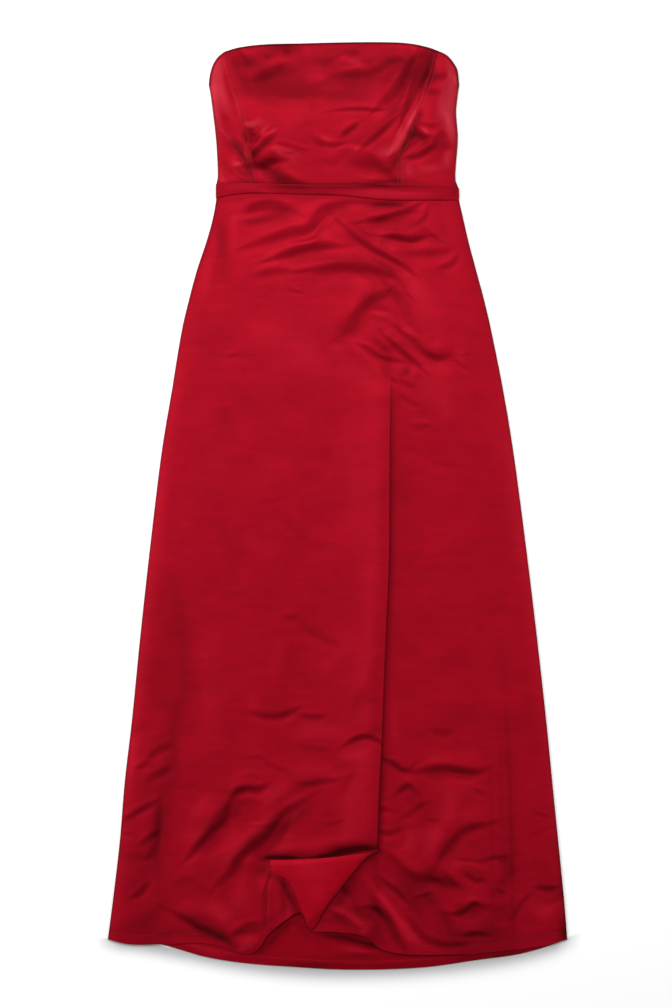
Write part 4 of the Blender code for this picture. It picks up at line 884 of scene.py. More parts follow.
# Plan points of a panel between its four edges, in rows from top to foot
def panelPlan(top, foot, left, right, columns, rows):
    u, v = columns[None, :, None], rows[:, None, None]
    edges = top.at(columns)[None] * (1 - v) + foot.at(columns)[None] * v
    edges = edges + left.at(rows)[:, None] * (1 - u) + right.at(rows)[:, None] * u
    high = top.at(0.0) * (1 - u) + top.at(1.0) * u
    low = foot.at(0.0) * (1 - u) + foot.at(1.0) * u
    return edges - high * (1 - v) - low * v


# The plan moved in at its edges by the given gaps in mm, each one number or one for every spot
def trimmed(plan, left, right, top, foot):
    made = plan.copy()
    sides = [(np.s_[:, 0], np.s_[:, 1], left), (np.s_[:, -1], np.s_[:, -2], right)]
    for edge, inner, gap in sides + [(0, 1, top), (-1, -2, foot)]:
        run = plan[inner] - plan[edge]
        made[edge] += run / np.linalg.norm(run, axis=-1, keepdims=True) * np.reshape(gap, (-1, 1))
    return made


# Lowest value within some cells either way
def lowest(grid, reach):
    for axis in (0, 1):
        padded = np.pad(grid, [(reach, reach) if k == axis else (0, 0) for k in (0, 1)], mode="edge")
        cells = np.arange(grid.shape[axis])
        grid = np.min([np.take(padded, cells + k, axis=axis) for k in range(2 * reach + 1)], axis=0)
    return grid


def toSpace(plan, height):
    return np.stack([plan[..., 0] * mm, topY - plan[..., 1] * mm, height * mm], axis=-1)


def ringOf(rows, columns):
    ring = [(0, j) for j in range(columns - 1)] + [(i, columns - 1) for i in range(rows - 1)]
    ring += [(rows - 1, j) for j in range(columns - 1, 0, -1)]
    return ring + [(i, 0) for i in range(rows - 1, 0, -1)]


# The object of a mesh, a lamp or a camera, placed in the scene
def placed(name, data):
    piece = bpy.data.objects.new(name, data)
    bpy.context.scene.collection.objects.link(piece)
    return piece


def meshOf(name, verts, edges, faces):
    mesh = bpy.data.meshes.new(name)
    mesh.from_pydata(verts, edges, faces)
    return mesh


# Closed shell of cloth. The detailed side is a full grid, the other side keeps only some rows and
# columns of it, and the edge between them is rounded and held out by "bow" mm.
def shell(name, detailed, other, bow, pickRows, pickColumns, tones=None, turned=False):
    rows, columns = detailed.shape[:2]
    verts = [tuple(point) for point in detailed.reshape(-1, 3)]
    index = np.arange(rows * columns).reshape(rows, columns)
    quads = np.stack([index[:-1, :-1], index[1:, :-1], index[1:, 1:], index[:-1, 1:]], axis=-1).reshape(-1, 4)
    faces = [tuple(quad) for quad in quads.tolist()]
    lows = {}
    for i in pickRows:
        for j in pickColumns:
            lows[i, j] = len(verts)
            verts.append(tuple(other[i, j]))
    for i, k in zip(pickRows, pickRows[1:]):
        for j, m in zip(pickColumns, pickColumns[1:]):
            faces.append((lows[i, j], lows[i, m], lows[k, m], lows[k, j]))
    ring = ringOf(rows, columns)
    edge = np.array([detailed[i, j] for i, j in ring])
    under = np.array([other[i, j] for i, j in ring])
    run = np.roll(edge, -1, axis=0) - np.roll(edge, 1, axis=0)
    out = np.stack([-run[:, 1], run[:, 0], np.zeros(len(ring))], axis=-1)
    out /= np.linalg.norm(out, axis=-1, keepdims=True)
    last = [int(index[i, j]) for i, j in ring]
    plan = np.stack([edge[:, 0] / mm, (topY - edge[:, 1]) / mm], axis=-1)
    bows = bow(plan) if callable(bow) else np.full(len(ring), bow)
    count = len(ring)
    for turn in shape["edgeTurns"]:
        share = 0.5 - 0.5 * math.cos(math.pi * turn)
        points = edge + (under - edge) * share + out * (bows * mm * math.sin(math.pi * turn))[:, None]
        first = len(verts)
        verts += [tuple(point) for point in points]
        now = list(range(first, first + count))
        faces += [(last[k], last[(k + 1) % count], now[(k + 1) % count], now[k]) for k in range(count)]
        last = now
    kept = [k for k, (i, j) in enumerate(ring) if (i, j) in lows]
    for k, m in zip(kept, kept[1:] + [kept[0] + count]):
        band = [last[n % count] for n in range(k, m + 1)]
        faces.append(tuple(band + [lows[ring[m % count]], lows[ring[k]]]))
    if turned:
        faces = [tuple(reversed(face)) for face in faces]
    mesh = meshOf(name, verts, [], faces)
    # Each point keeps its painted shade, a painted highlight where below 0, for the material to darken or
    # lighten the cloth's colour with: the detailed side and the rounded edge take the first grid, the other
    # side the second
    if tones:
        grid, otherGrid = tones
        values = list(grid.reshape(-1)) + [otherGrid[spot] for spot in lows]
        values += [grid[spot] for spot in ring] * len(shape["edgeTurns"])
        mesh.attributes.new("paintedShading", "FLOAT", "POINT").data.foreach_set("value", values)
    mesh.shade_smooth()
    mesh.set_sharp_from_angle(angle=math.radians(shape["sharpAngle"]))
    return placed(name, mesh)


# Rows or columns kept on the plain side, all of them among the last few
def picks(count, step, dense=0):
    kept = set(range(0, count, step)) | {count - 1}
    return sorted(kept | set(range(count - dense, count)))


# Steepness of a grid of points, as the share that a wall is thickened by when measured upright
def uprightShare(points):
    across = np.gradient(points, axis=1)
    along = np.gradient(points, axis=0)
    normal = np.cross(across, along)
    size = np.linalg.norm(normal, axis=-1)
    return np.clip(size / np.maximum(np.abs(normal[..., 2]), 1e-12), 1.0, shape["steepest"])


print("shape functions ready")

# Front bodice: three panels cut between the curved bust seams
bodice = {
    "rows": spaced((0.02, 2), (1.0, 132)), "centreColumns": spaced((1.0, 160)),
    "sideColumns": spaced((1.0, 38)), "bow": 0.12, "seamDip": 0.35, "seamWidth": 2.4, "neckBand": 6.0,
    "neckSoft": 1.6, "neckRise": 0.3, "neckDark": 1.6, "neckDarkWidth": 2.6, "darkest": 1.8, "pick": 4,
}
bodiceFine = creases(bodiceCreases)
bustLeftLine = curve(bustLeft)
bustRightLine = curve(bustRight)
neckLines = {"left": curve(neckLeft), "centre": curve(neckCentre), "right": curve(neckRight)}


def bodiceSurface(across, down, neck):
    height, dark = frontHeight(across, down, bodiceFine, [bodicePaintedShading])
    for seam in (bustLeftLine, bustRightLine):
        away = nearest(seam, across, down)[0]
        height = height - bodice["seamDip"] * np.exp(-((away / bodice["seamWidth"]) ** 2))
    fromNeck = np.abs(nearest(neck, across, down)[0])
    height = height + bodice["neckRise"] * smooth((bodice["neckBand"] - fromNeck) / bodice["neckSoft"])
    # A painted dark line of shade along the neckline, where its rolled edge turns away from the light; the
    # painted shade is held under "darkest"
    edgeDark = bodice["neckDark"] * np.exp(-((fromNeck / bodice["neckDarkWidth"]) ** 2))
    return height, np.minimum(bodice["darkest"], dark + edgeDark)


# A front panel from its plan, with the underside kept clear of the back
def frontPiece(name, plan, heightOf, bow, pick):
    height, dark = heightOf(plan[..., 0], plan[..., 1])
    outer = toSpace(plan, height)
    under = lowest(height - shape["frontWall"] * uprightShare(outer), pick)
    under = toSpace(plan, np.maximum(under, shape["frontTop"] - shape["frontWall"]))
    rows, columns = height.shape
    return shell(name, outer, under, bow, picks(rows, pick), picks(columns, pick), (dark, 0.0 * dark))


def bodicePiece(name, side, foot, left, right, columns):
    neck = neckLines[side]
    plan = panelPlan(neck, curve(foot), left, right, columns, bodice["rows"])
    plan = trimmed(plan, *[bodice["bow"]] * 4)
    return frontPiece(name, plan, lambda x, d: bodiceSurface(x, d, neck), bodice["bow"], bodice["pick"])


bodiceCentre = bodicePiece(
    "bodiceCentre", "centre", waistCentre, bustLeftLine, bustRightLine, bodice["centreColumns"]
)
outside = sideLine(1, shape["sideTop"], shape["waistLeft"])
bodiceLeft = bodicePiece("bodiceLeft", "left", waistLeft, outside, bustLeftLine, bodice["sideColumns"])
outside = sideLine(2, shape["sideTop"], shape["waistRight"])
bodiceRight = bodicePiece("bodiceRight", "right", waistRight, bustRightLine, outside, bodice["sideColumns"])
print("front bodice made")

# Front skirt: the left panel laps the right one below the head of the slit
skirt = {
    "rows": spaced((0.01, 6), (0.31, 154), (0.67, 84), (0.985, 166), (1.0, 14)),
    "leftColumns": spaced((0.96, 140), (1.0, 14)), "rightColumns": spaced((0.05, 10), (1.0, 128)),
    "topGap": 0.2, "bow": 0.7, "openFrom": 508.0, "openRun": 24.0, "pick": 4, "hemFrom": 1240.0,
    "hemBand": 15.0, "hemSoft": 1.5, "hemRise": 0.10, "hemStitch": 14.2, "hemDip": 0.07, "hemDipWidth": 1.4,
    "hemShade": 0.32, "hemShadeWidth": 1.8,
}
hemLeftLine = curve(hemLeft)
hemRightLine = curve(hemRight)
hemBackLine = curve(hemBack)


# The turned hem: a doubled band with a line of stitches along its upper edge, and painted shade in the dip
# along the stitches
def hemForm(line, across, down):
    form, tone = np.zeros(across.shape), np.zeros(across.shape)
    near = down > skirt["hemFrom"]
    away = np.abs(nearest(line, across[near], down[near])[0])
    fromStitch = away - skirt["hemStitch"]
    form[near] = skirt["hemRise"] * smooth((skirt["hemBand"] - away) / skirt["hemSoft"])
    form[near] -= skirt["hemDip"] * np.exp(-((fromStitch / skirt["hemDipWidth"]) ** 2))
    uneven = 0.65 + 0.35 * np.sin(across[near] / 9.0 + 2.0 * np.sin(across[near] / 31.0))
    tone[near] = skirt["hemShade"] * uneven * np.exp(-((fromStitch / skirt["hemShadeWidth"]) ** 2))
    return form, tone


def skirtSurface(heightOf, line):
    def surface(across, down):
        height, dark = heightOf(across, down)
        form, tone = hemForm(line, across, down)
        return height + form, np.clip(dark + tone, *folding["tones"])

    return surface


# The seam above the slit lies flat and closed, and the edges below it are rounded
def slitBow(spots):
    return skirt["bow"] * smooth((spots[:, 1] - skirt["openFrom"]) / skirt["openRun"])


def skirtPiece(name, surface, top, foot, left, right, columns):
    plan = panelPlan(top, foot, left, right, columns, skirt["rows"])
    plan = trimmed(plan, slitBow(plan[:, 0]), slitBow(plan[:, -1]), skirt["topGap"], skirt["bow"])
    return frontPiece(name, plan, surface, slitBow, skirt["pick"])


leftSurface = skirtSurface(leftHeight, hemLeftLine)
rightSurface = skirtSurface(rightHeight, hemRightLine)
outside = sideLine(1, shape["waistLeft"], shape["sideFoot"])
skirtLeft = skirtPiece(
    "skirtLeft", leftSurface, curve(waistLeft + waistCentre[1:]), joined(hemLeftLine, foldPath), outside,
    slitLine, skirt["leftColumns"],
)
headLine = curve([spot for spot in slitSpots if spot[1] <= shape["slitHead"]])
outside = sideLine(2, shape["waistRight"], shape["sideFoot"])
skirtRight = skirtPiece(
    "skirtRight", rightSurface, curve(waistRight), hemRightLine, joined(headLine, lapLine), outside,
    skirt["rightColumns"],
)
print("front skirt made")

# The slit's faced corner, turned up onto the left panel and rolled at the fold
corner = {
    "rows": spaced((0.96, 56)), "columns": spaced((0.04, 4), (1.0, 70)), "clear": 0.9, "wall": 1.5,
    "bulge": 2.0, "middle": (-25.0, 1262.0), "reach": 45.0, "roll": 9, "rollTurn": 0.93, "rollOut": 2.3,
    "rollIn": 1.0, "edgeDrop": 0.7, "edgeWidth": 7.0, "bow": 0.3, "pick": 3,
}


def cornerPlan():
    fold = Line(foldPath.points[::-1])
    u, v = corner["columns"][None, :, None], corner["rows"][:, None, None]
    straight = cornerTopLine.at(0.0) * (1 - u) + cornerTopLine.at(1.0) * u
    bow = cornerTopLine.at(corner["columns"])[None] - straight
    across = cornerSideLine.at(corner["rows"])[:, None] * (1 - u) + fold.at(corner["rows"])[:, None] * u
    return across + bow * (1 - v)


def makeCorner():
    plan = cornerPlan()
    across, down = plan[..., 0], plan[..., 1]
    under = frontHeight(across, down, [])[0] + leftLift(across, down)
    away = np.hypot(across - corner["middle"][0], down - corner["middle"][1]) / corner["reach"]
    height = under + corner["clear"] + corner["wall"] + corner["bulge"] * np.exp(-away * away)
    edges = [np.abs(nearest(line, across, down)[0]) for line in (cornerSideLine, cornerTopLine)]
    fromEdge = np.minimum(*edges)
    height = height - corner["edgeDrop"] * (1.0 - smooth(fromEdge / corner["edgeWidth"]))
    foot = (under[:, -1] - shape["frontWall"]) * mm
    run = plan[:, -1] - plan[:, -2]
    run = run / np.linalg.norm(run, axis=-1, keepdims=True)
    out = np.stack([run[:, 0], -run[:, 1], np.zeros(len(run))], axis=-1)

    # One side of the wall, carried on round the fold
    def rolled(height, reach):
        face = toSpace(plan, height)
        start = face[:, -1]
        middle = (start[:, 2] + foot) / 2
        for k in range(1, corner["roll"] + 1):
            angle = math.pi * corner["rollTurn"] * k / corner["roll"]
            point = start + out * (reach * mm * math.sin(angle))
            point[:, 2] = middle + (start[:, 2] - middle) * math.cos(angle)
            face = np.concatenate([face, point[:, None]], axis=1)
        return face

    outer = rolled(height, corner["rollOut"])
    inner = rolled(height - corner["wall"], corner["rollOut"] - corner["rollIn"])
    rows, columns = outer.shape[:2]
    # Painted shade and painted highlight strokes on the turned corner; the roll at the fold takes the painted
    # shade of the corner's last column
    tone = paintedShadingField([cornerPaintedShading], across, down)
    tone = np.concatenate([tone] + [tone[:, -1:]] * corner["roll"], axis=1)
    keptRows, keptColumns = picks(rows, corner["pick"]), picks(columns, corner["pick"], corner["roll"] + 1)
    return shell("slitCorner", outer, inner, corner["bow"], keptRows, keptColumns, (tone, 0.0 * tone))


slitCorner = makeCorner()
print("turned corner made")

# Waist sash: a soft folded band laid over the waist seam
sash = {
    "rows": spaced((1.0, 26)), "columns": spaced((0.02, 8), (0.98, 220), (1.0, 8)), "clear": 0.6,
    "thick": 1.5, "puff": 0.5, "pleats": ((0.24, 0.40, 0.12), (0.80, 0.66, 0.10)), "pleatWidth": 0.10,
    "pleatWander": 0.03, "pleatShade": 0.1, "bow": 0.5, "pickRows": 5, "pickColumns": 4,
}
sashTopLine, sashFootLine = curve(sashTop), curve(sashFoot)


def makeSash():
    left = Line((sashTop[0], sashFoot[0]))
    right = Line((sashTop[-1], sashFoot[-1]))
    plan = panelPlan(sashTopLine, sashFootLine, left, right, sash["columns"], sash["rows"])
    plan = trimmed(plan, *[sash["bow"]] * 4)
    across, down = plan[..., 0], plan[..., 1]
    inside = np.clip(across, tableValue(sections, down, 1), tableValue(sections, down, 2))
    base = frontHeight(inside, down, [])[0] + sash["clear"]
    v = sash["rows"][:, None] + 0.0 * across
    u = sash["columns"][None, :] + 0.0 * across
    height = base + sash["thick"] + sash["puff"] * np.sqrt(np.maximum(0.0, 1.0 - (2.0 * v - 1.0) ** 2))
    # Painted shade in the hollow of each pleat, then strokes of painted shade and painted highlight over the
    # band
    dark = np.zeros(v.shape)
    for start, end, depth in sash["pleats"]:
        wander = sash["pleatWander"] * np.sin(u * 9.0 + start * 20)
        away = (v - start - (end - start) * smooth(u) - wander) / sash["pleatWidth"]
        pleat = np.exp(-away * away) * (0.55 + 0.45 * np.sin(u * 7.0 + start * 11.0))
        height = height - depth * pleat
        dark = dark + sash["pleatShade"] * pleat
    dark = dark + paintedShadingField([sashPaintedShading], across, down)
    rows, columns = height.shape
    return shell(
        "waistSash", toSpace(plan, height), toSpace(plan, base), sash["bow"], picks(rows, sash["pickRows"]),
        picks(columns, sash["pickColumns"]), (dark, 0.0 * dark),
    )


waistSash = makeSash()
print("sash made")

# Back: flat panels on the floor, split by the zip, with shallow creases pressed into the underside
back = {
    "columns": spaced((1.0, 72)), "bodiceRows": spaced((1.0, 44)), "sashRows": spaced((1.0, 12)),
    "skirtRows": spaced((0.2, 60), (0.94, 150), (1.0, 40)), "zipHalf": 4.3, "gap": -0.03, "bow": 0.45,
    "pick": 4, "hemPick": 41, "crease": 0.34, "wave": 0.5, "highest": 1.4, "hemBand": 13.5, "hemSoft": 1.5,
    "hemStitch": 12.8, "hemDipWidth": 1.3, "hemRise": 0.25, "hemWave": 0.5, "hemWaveLength": 19.0,
    "hemWaveFrom": 40.0, "hemWaveRun": 30.0, "hemWaveEdge": 9.0, "seamHalf": 1.0, "seamRun": 3.0,
    "seamFrom": 410.0, "seamOpen": 20.0, "liftMiddle": 5.0, "liftMiddleRun": 6.0, "liftPastZip": 10.0,
    "liftSide": 8.0, "liftSideRun": 14.0, "liftHem": 3.0, "liftHemRun": 8.0, "closeBefore": 4.0,
    "closeRun": 8.0,
}
backCreases = creases(backCreaseRows)


def halfOf(line, side):
    middle = float(np.interp(0.0, line.points[:, 0], line.marks)) / line.length
    start, end = (0.0, middle) if side == "left" else (middle, 1.0)
    return Line(line.at(np.linspace(start, end, 40)))


def backPlan(top, foot, side, rows):
    topHalf, footHalf = halfOf(top, side), halfOf(foot, side)
    outer, inner = (0, -1) if side == "left" else (-1, 0)
    topSpot, footSpot = topHalf.points[outer], footHalf.points[outer]
    seam = sideLine(1 if side == "left" else 2, topSpot[1], footSpot[1]).points
    outside = Line([topSpot] + list(seam[1:-1]) + [footSpot])
    middle = Line((topHalf.points[inner], footHalf.points[inner]))
    left, right = (outside, middle) if side == "left" else (middle, outside)
    return panelPlan(topHalf, footHalf, left, right, back["columns"], rows)


# How far the back is lifted off the floor by its creases, and the painted shade in them
def backLift(across, down):
    left, right = tableValue(sections, down, 1), tableValue(sections, down, 2)
    inside = np.minimum(across - left, right - across)
    small, dark = foldField(backCreases, across, down, *folding["fine"])
    centre = smooth((np.abs(across) - back["liftMiddle"]) / back["liftMiddleRun"])
    centre = np.minimum(1.0, centre + (down > shape["zipFoot"] + back["liftPastZip"]))
    calm = smooth((inside - back["liftSide"]) / back["liftSideRun"]) * centre
    lift = back["crease"] * np.abs(small) + back["wave"] * np.maximum(0.0, looseWaves(across, down))
    return np.clip(lift, 0.0, back["highest"]) * calm, np.clip(dark, 0.0, 1.0) * calm


# The back's hem inside: a turned band with a stitched dip, and slow waves over it
def backHemForm(across, down):
    fromHem = np.abs(nearest(hemBackLine, across, down)[0])
    form = smooth((back["hemBand"] - fromHem) / back["hemSoft"])
    form = back["hemRise"] * (form - np.exp(-(((fromHem - back["hemStitch"]) / back["hemDipWidth"]) ** 2)))
    wave = back["hemWave"] * np.sin(across / back["hemWaveLength"] + 0.6) ** 2
    wave = wave * smooth((back["hemWaveFrom"] - fromHem) / back["hemWaveRun"])
    return form + wave * smooth(fromHem / back["hemWaveEdge"]), fromHem


def backTop(across, down):
    return shape["backWall"] + backLift(across, down)[0] + backHemForm(across, down)[0]


# The centre back seam is closed, and the other edges are rounded
def backBow(spots):
    outside = smooth((np.abs(spots[:, 0]) - back["seamHalf"]) / back["seamRun"])
    above = 1.0 - smooth((spots[:, 1] - back["seamFrom"]) / back["seamOpen"])
    return back["bow"] * np.maximum(outside, above)


def backPiece(name, plan, hemmed=False):
    across, down = plan[..., 0], plan[..., 1]
    lift, dark = backLift(across, down)
    top = shape["backWall"] + lift
    if hemmed:
        form, fromHem = backHemForm(across, down)
        top = top + form
        lift = lift * smooth((fromHem - back["liftHem"]) / back["liftHemRun"])
    keptRows = picks(lift.shape[0], back["pick"], back["hemPick"] if hemmed else 0)
    keptColumns = picks(lift.shape[1], 1 if hemmed else back["pick"])
    # Painted shade in the creases goes on the floor side; strokes of painted shade, most of it the shadow of
    # the front hem, go on the inside
    tones = (dark, paintedShadingField([backPaintedShading], across, down))
    lift, top = toSpace(plan, lift), toSpace(plan, top)
    return shell(name, lift, top, backBow, keptRows, keptColumns, tones, turned=True)


backPieces = {}
backParts = (
    ("bodice_back_", "bodiceBack", curve(neckBack), sashTopLine, "bodiceRows", (0.45, 0.6)),
    ("waist_sash_back_", "sashBack", sashTopLine, sashFootLine, "sashRows", (0.6, 0.6)),
    ("skirt_back_", "skirtBack", sashFootLine, hemBackLine, "skirtRows", (0.8, 0.45)),
)
for side in ("left", "right"):
    for node, name, top, foot, rows, gaps in backParts:
        plan = backPlan(top, foot, side, back[rows])
        hemmed = foot is hemBackLine
        besideZip = back["zipHalf"] + back["bow"]
        if hemmed:
            middle = plan[:, -1 if side == "left" else 0]
            fromFoot = middle[:, 1] - shape["zipFoot"]
            closing = 1.0 - smooth((fromFoot + back["closeBefore"]) / back["closeRun"])
            besideZip = back["zipHalf"] * closing + back["gap"] + backBow(middle)
        edges = (back["bow"], besideZip) if side == "left" else (besideZip, back["bow"])
        backPieces[node + side] = backPiece(name + side.capitalize(), trimmed(plan, *edges, *gaps), hemmed)
print("back made")

# Rows of small parts along lines: stitches and zip teeth, laid by Geometry Nodes
rowInputs = (
    ("Pitch", "NodeSocketFloat"), ("Part size", "NodeSocketVector"), ("Unevenness", "NodeSocketFloat"),
    ("Seed", "NodeSocketInt"), ("Cloth", "NodeSocketMaterial"),
)


def rowTree():
    tree = bpy.data.node_groups.new("partsAlongLines", "GeometryNodeTree")
    tree.interface.new_socket("Geometry", in_out="INPUT", socket_type="NodeSocketGeometry")
    for label, kind in rowInputs:
        tree.interface.new_socket(label, in_out="INPUT", socket_type=kind)
    tree.interface.new_socket("Geometry", in_out="OUTPUT", socket_type="NodeSocketGeometry")

    def node(kind, links=(), **values):
        made = tree.nodes.new(kind)
        for key, value in values.items():
            setattr(made, key, value)
        for socket, source in links:
            if hasattr(source, "is_linked"):
                tree.links.new(source, made.inputs[socket])
            else:
                made.inputs[socket].default_value = source
        return made

    given = node("NodeGroupInput").outputs
    lines = node("GeometryNodeMeshToCurve", [("Mesh", given["Geometry"])])
    spacing = [("Curve", lines.outputs[0]), ("Length", given["Pitch"])]
    spots = node("GeometryNodeCurveToPoints", spacing, mode="LENGTH")
    ball = node("GeometryNodeMeshIcoSphere", [("Radius", 1.0), ("Subdivisions", 2)])
    part = node("GeometryNodeTransform", [("Geometry", ball.outputs[0]), ("Scale", given["Part size"])])
    aligned = node("FunctionNodeAlignRotationToVector", [("Vector", spots.outputs["Tangent"])], axis="X")
    chance = node(
        "FunctionNodeRandomValue", [("Min", -1.0), ("Max", 1.0), ("Seed", given["Seed"])], data_type="FLOAT"
    )
    spread = [(0, chance.outputs["Value"]), (1, given["Unevenness"])]
    uneven = node("ShaderNodeMath", spread, operation="MULTIPLY")
    tilt = node("ShaderNodeCombineXYZ", [("Z", uneven.outputs[0])])
    turned = node(
        "FunctionNodeRotateRotation", [("Rotation", aligned.outputs[0]), ("Rotate By", tilt.outputs[0])],
        rotation_space="LOCAL",
    )
    laid = node(
        "GeometryNodeInstanceOnPoints",
        [("Points", spots.outputs["Points"]), ("Instance", part.outputs[0]), ("Rotation", turned.outputs[0])],
    )
    real = node("GeometryNodeRealizeInstances", [("Geometry", laid.outputs[0])])
    coloured = node("GeometryNodeSetMaterial", [("Geometry", real.outputs[0]), ("Material", given["Cloth"])])
    node("NodeGroupOutput", [("Geometry", coloured.outputs[0])])
    return tree


rowsTree = rowTree()


def rowPiece(name, lines, settings, material):
    verts, edges = [], []
    for line in lines:
        first = len(verts)
        verts += [tuple(point) for point in line]
        edges += [(first + k, first + k + 1) for k in range(len(line) - 1)]
    guide = placed(name + "Lines", meshOf(name + "Lines", verts, edges, []))
    modifier = guide.modifiers.new("parts", "NODES")
    modifier.node_group = rowsTree
    values = dict(settings, Cloth=material)
    for socket in rowsTree.interface.items_tree:
        if socket.in_out == "INPUT" and socket.name in values:
            modifier[socket.identifier] = values[socket.name]
    evaluated = guide.evaluated_get(bpy.context.evaluated_depsgraph_get())
    made = bpy.data.meshes.new_from_object(evaluated)
    bpy.data.objects.remove(guide, do_unlink=True)
    made.name = name
    made.shade_smooth()
    return placed(name, made)


# Sockets with arithmetic, so that a shader reads as formulas
class Value:
    def __init__(self, tree, socket):
        self.tree, self.socket = tree, socket

    def math(self, operation, *others, first=None):
        node = self.tree.nodes.new("ShaderNodeMath")
        node.operation = operation
        for slot, item in enumerate(([self] if first is None else [first, self]) + list(others)):
            if isinstance(item, Value):
                self.tree.links.new(item.socket, node.inputs[slot])
            else:
                node.inputs[slot].default_value = item
        return Value(self.tree, node.outputs[0])

    def __add__(self, other):
        return self.math("ADD", other)

    def __sub__(self, other):
        return self.math("SUBTRACT", other)

    def __mul__(self, other):
        return self.math("MULTIPLY", other)

    def __truediv__(self, other):
        return self.math("DIVIDE", other)

    def __pow__(self, other):
        return self.math("POWER", other)

    def __radd__(self, other):
        return self.math("ADD", first=other)

    def __rsub__(self, other):
        return self.math("SUBTRACT", first=other)

    def __rmul__(self, other):
        return self.math("MULTIPLY", first=other)

    def between(self, low, high):
        return self.math("MAXIMUM", low).math("MINIMUM", high)


# A material and its nodes
class Finish:
    def __init__(self, name):
        self.material = bpy.data.materials.new(name)
        self.material.use_nodes = True
        self.tree = self.material.node_tree
        self.shader = self.tree.nodes["Principled BSDF"]

    def node(self, kind, settings=None, values=None):
        made = self.tree.nodes.new(kind)
        for key, value in (settings or {}).items():
            setattr(made, key, value)
        for key, value in (values or {}).items():
            self.feed(made.inputs[key], value)
        return made

    def feed(self, socket, value):
        if isinstance(value, Value):
            self.tree.links.new(value.socket, socket)
        else:
            socket.default_value = value

    def value(self, node, output=0):
        return Value(self.tree, node.outputs[output])

    def attribute(self, name):
        return self.value(self.node("ShaderNodeAttribute", {"attribute_name": name}), "Fac")

    def place(self, scale=(1.0, 1.0, 1.0)):
        spot = self.value(self.node("ShaderNodeTexCoord"), "Object")
        return self.value(self.node("ShaderNodeMapping", values={"Vector": spot, "Scale": scale}))

    def noise(self, scale, detail=2.0, rough=0.5, stretch=(1.0, 1.0, 1.0)):
        values = {"Vector": self.place(stretch), "Scale": scale, "Detail": detail, "Roughness": rough}
        return self.value(self.node("ShaderNodeTexNoise", values=values))

    def bands(self, direction, values, stretch=(1.0, 1.0, 1.0)):
        settings = {"wave_type": "BANDS", "bands_direction": direction}
        values = {"Vector": self.place(stretch), **values}
        return self.value(self.node("ShaderNodeTexWave", settings, values), "Fac")

    def bump(self, height, distance, strength):
        values = {"Height": height, "Distance": distance, "Strength": strength}
        return self.value(self.node("ShaderNodeBump", values=values))

    def mix(self, share, a, b):
        return self.value(self.node("ShaderNodeMix", {"data_type": "RGBA"}, {0: share, 6: a, 7: b}), 2)

    def set(self, **values):
        for key, value in values.items():
            self.feed(self.shader.inputs[key.replace("_", " ").title().replace("Ior", "IOR")], value)


def shade(colour, share):
    return tuple(c * share for c in colour[:3]) + (1.0,)


# Satin: a fine slanted float weave, slubs along the weft, painted highlights on the lit sides of folds and
# painted shade in creases, both read from the painted shading attribute
def satin(name, colour, rough, sheen, highlightPink=0.25):
    finish = Finish(name)
    streak = finish.noise(60.0, 2.0, 0.5, (0.45, 1.7, 1.0))
    cloud = finish.noise(9.0, 3.0, 0.5) * 0.75 + finish.noise(60.0, 3.0, 0.6) * 0.5 + streak * 0.7 - 0.48
    slub = finish.noise(60.0, 2.0, 0.6, (1.0, 14.0, 1.0))
    # Painted shading from the attribute: painted shade where above 0, a painted highlight where below 0
    paintedShading = finish.attribute("paintedShading").between(0.0, 2.0)
    high = (finish.attribute("paintedShading") * -1.0).between(0.0, 1.0)
    mottle = (cloud * 1.6 - 0.3).between(0.0, 1.0)
    light = finish.mix(mottle, shade(colour, 0.85), shade(colour, 1.15))
    light = finish.mix(slub * 0.25, light, shade(colour, 0.82))
    # The painted highlight's colour, a lighter and pinker red
    highlightColour = (colour[0] * 1.9, colour[1] * 3.0 + 0.012 * highlightPink, colour[2] * 2.4 + 0.014 * highlightPink, 1.0)
    light = finish.mix(high, light, highlightColour)
    # Painted shade darkens the colour toward near black
    cloth = finish.mix((paintedShading * 0.58).between(0.0, 1.0), light, shade(colour, 0.04))
    floats = {"Scale": 420.0, "Distortion": 0.6, "Detail": 1.0, "Detail Scale": 2.0}
    twill = finish.bands("DIAGONAL", floats, (1.0, 1.9, 1.0))
    crumple = finish.noise(34.0, 3.0, 0.55)
    height = twill * 0.02 + crumple * 0.9 + streak * 0.45 + finish.noise(100.0) * 0.2 + slub * 0.05
    finish.set(
        base_color=cloth, roughness=(slub * 0.10 + (rough - 0.05) + paintedShading * 0.12).between(0.1, 1.0),
        normal=finish.bump(height, 0.0006, 0.6), sheen_weight=sheen, sheen_roughness=0.3, metallic=0.18,
        sheen_tint=(1.0, 0.40, 0.48, 1.0), specular_ior_level=0.5, specular_tint=(1.0, 0.03, 0.06, 1.0),
    )
    return finish.material


# Each piece's satin. The backs' satin is darker partly as the duller reverse side and partly as painted shade
# under the front hem, and the bodice's painted highlights are pinker
satinLooks = {
    "bodice": {"colour": (0.178, 0.0014, 0.0065, 1.0), "rough": 0.46, "sheen": 0.28, "highlightPink": 1.3},
    "skirt": {"colour": (0.178, 0.0014, 0.0065, 1.0), "rough": 0.46, "sheen": 0.22},
    "sash": {"colour": (0.140, 0.0008, 0.005, 1.0), "rough": 0.5, "sheen": 0.2},
    "corner": {"colour": (0.195, 0.0010, 0.006, 1.0), "rough": 0.56, "sheen": 0.2},
    "shadedReverse": {"colour": (0.150, 0.0008, 0.0048, 1.0), "rough": 0.52, "sheen": 0.16},
}
cloths = {key: satin(key + "Satin", **look) for key, look in satinLooks.items()}


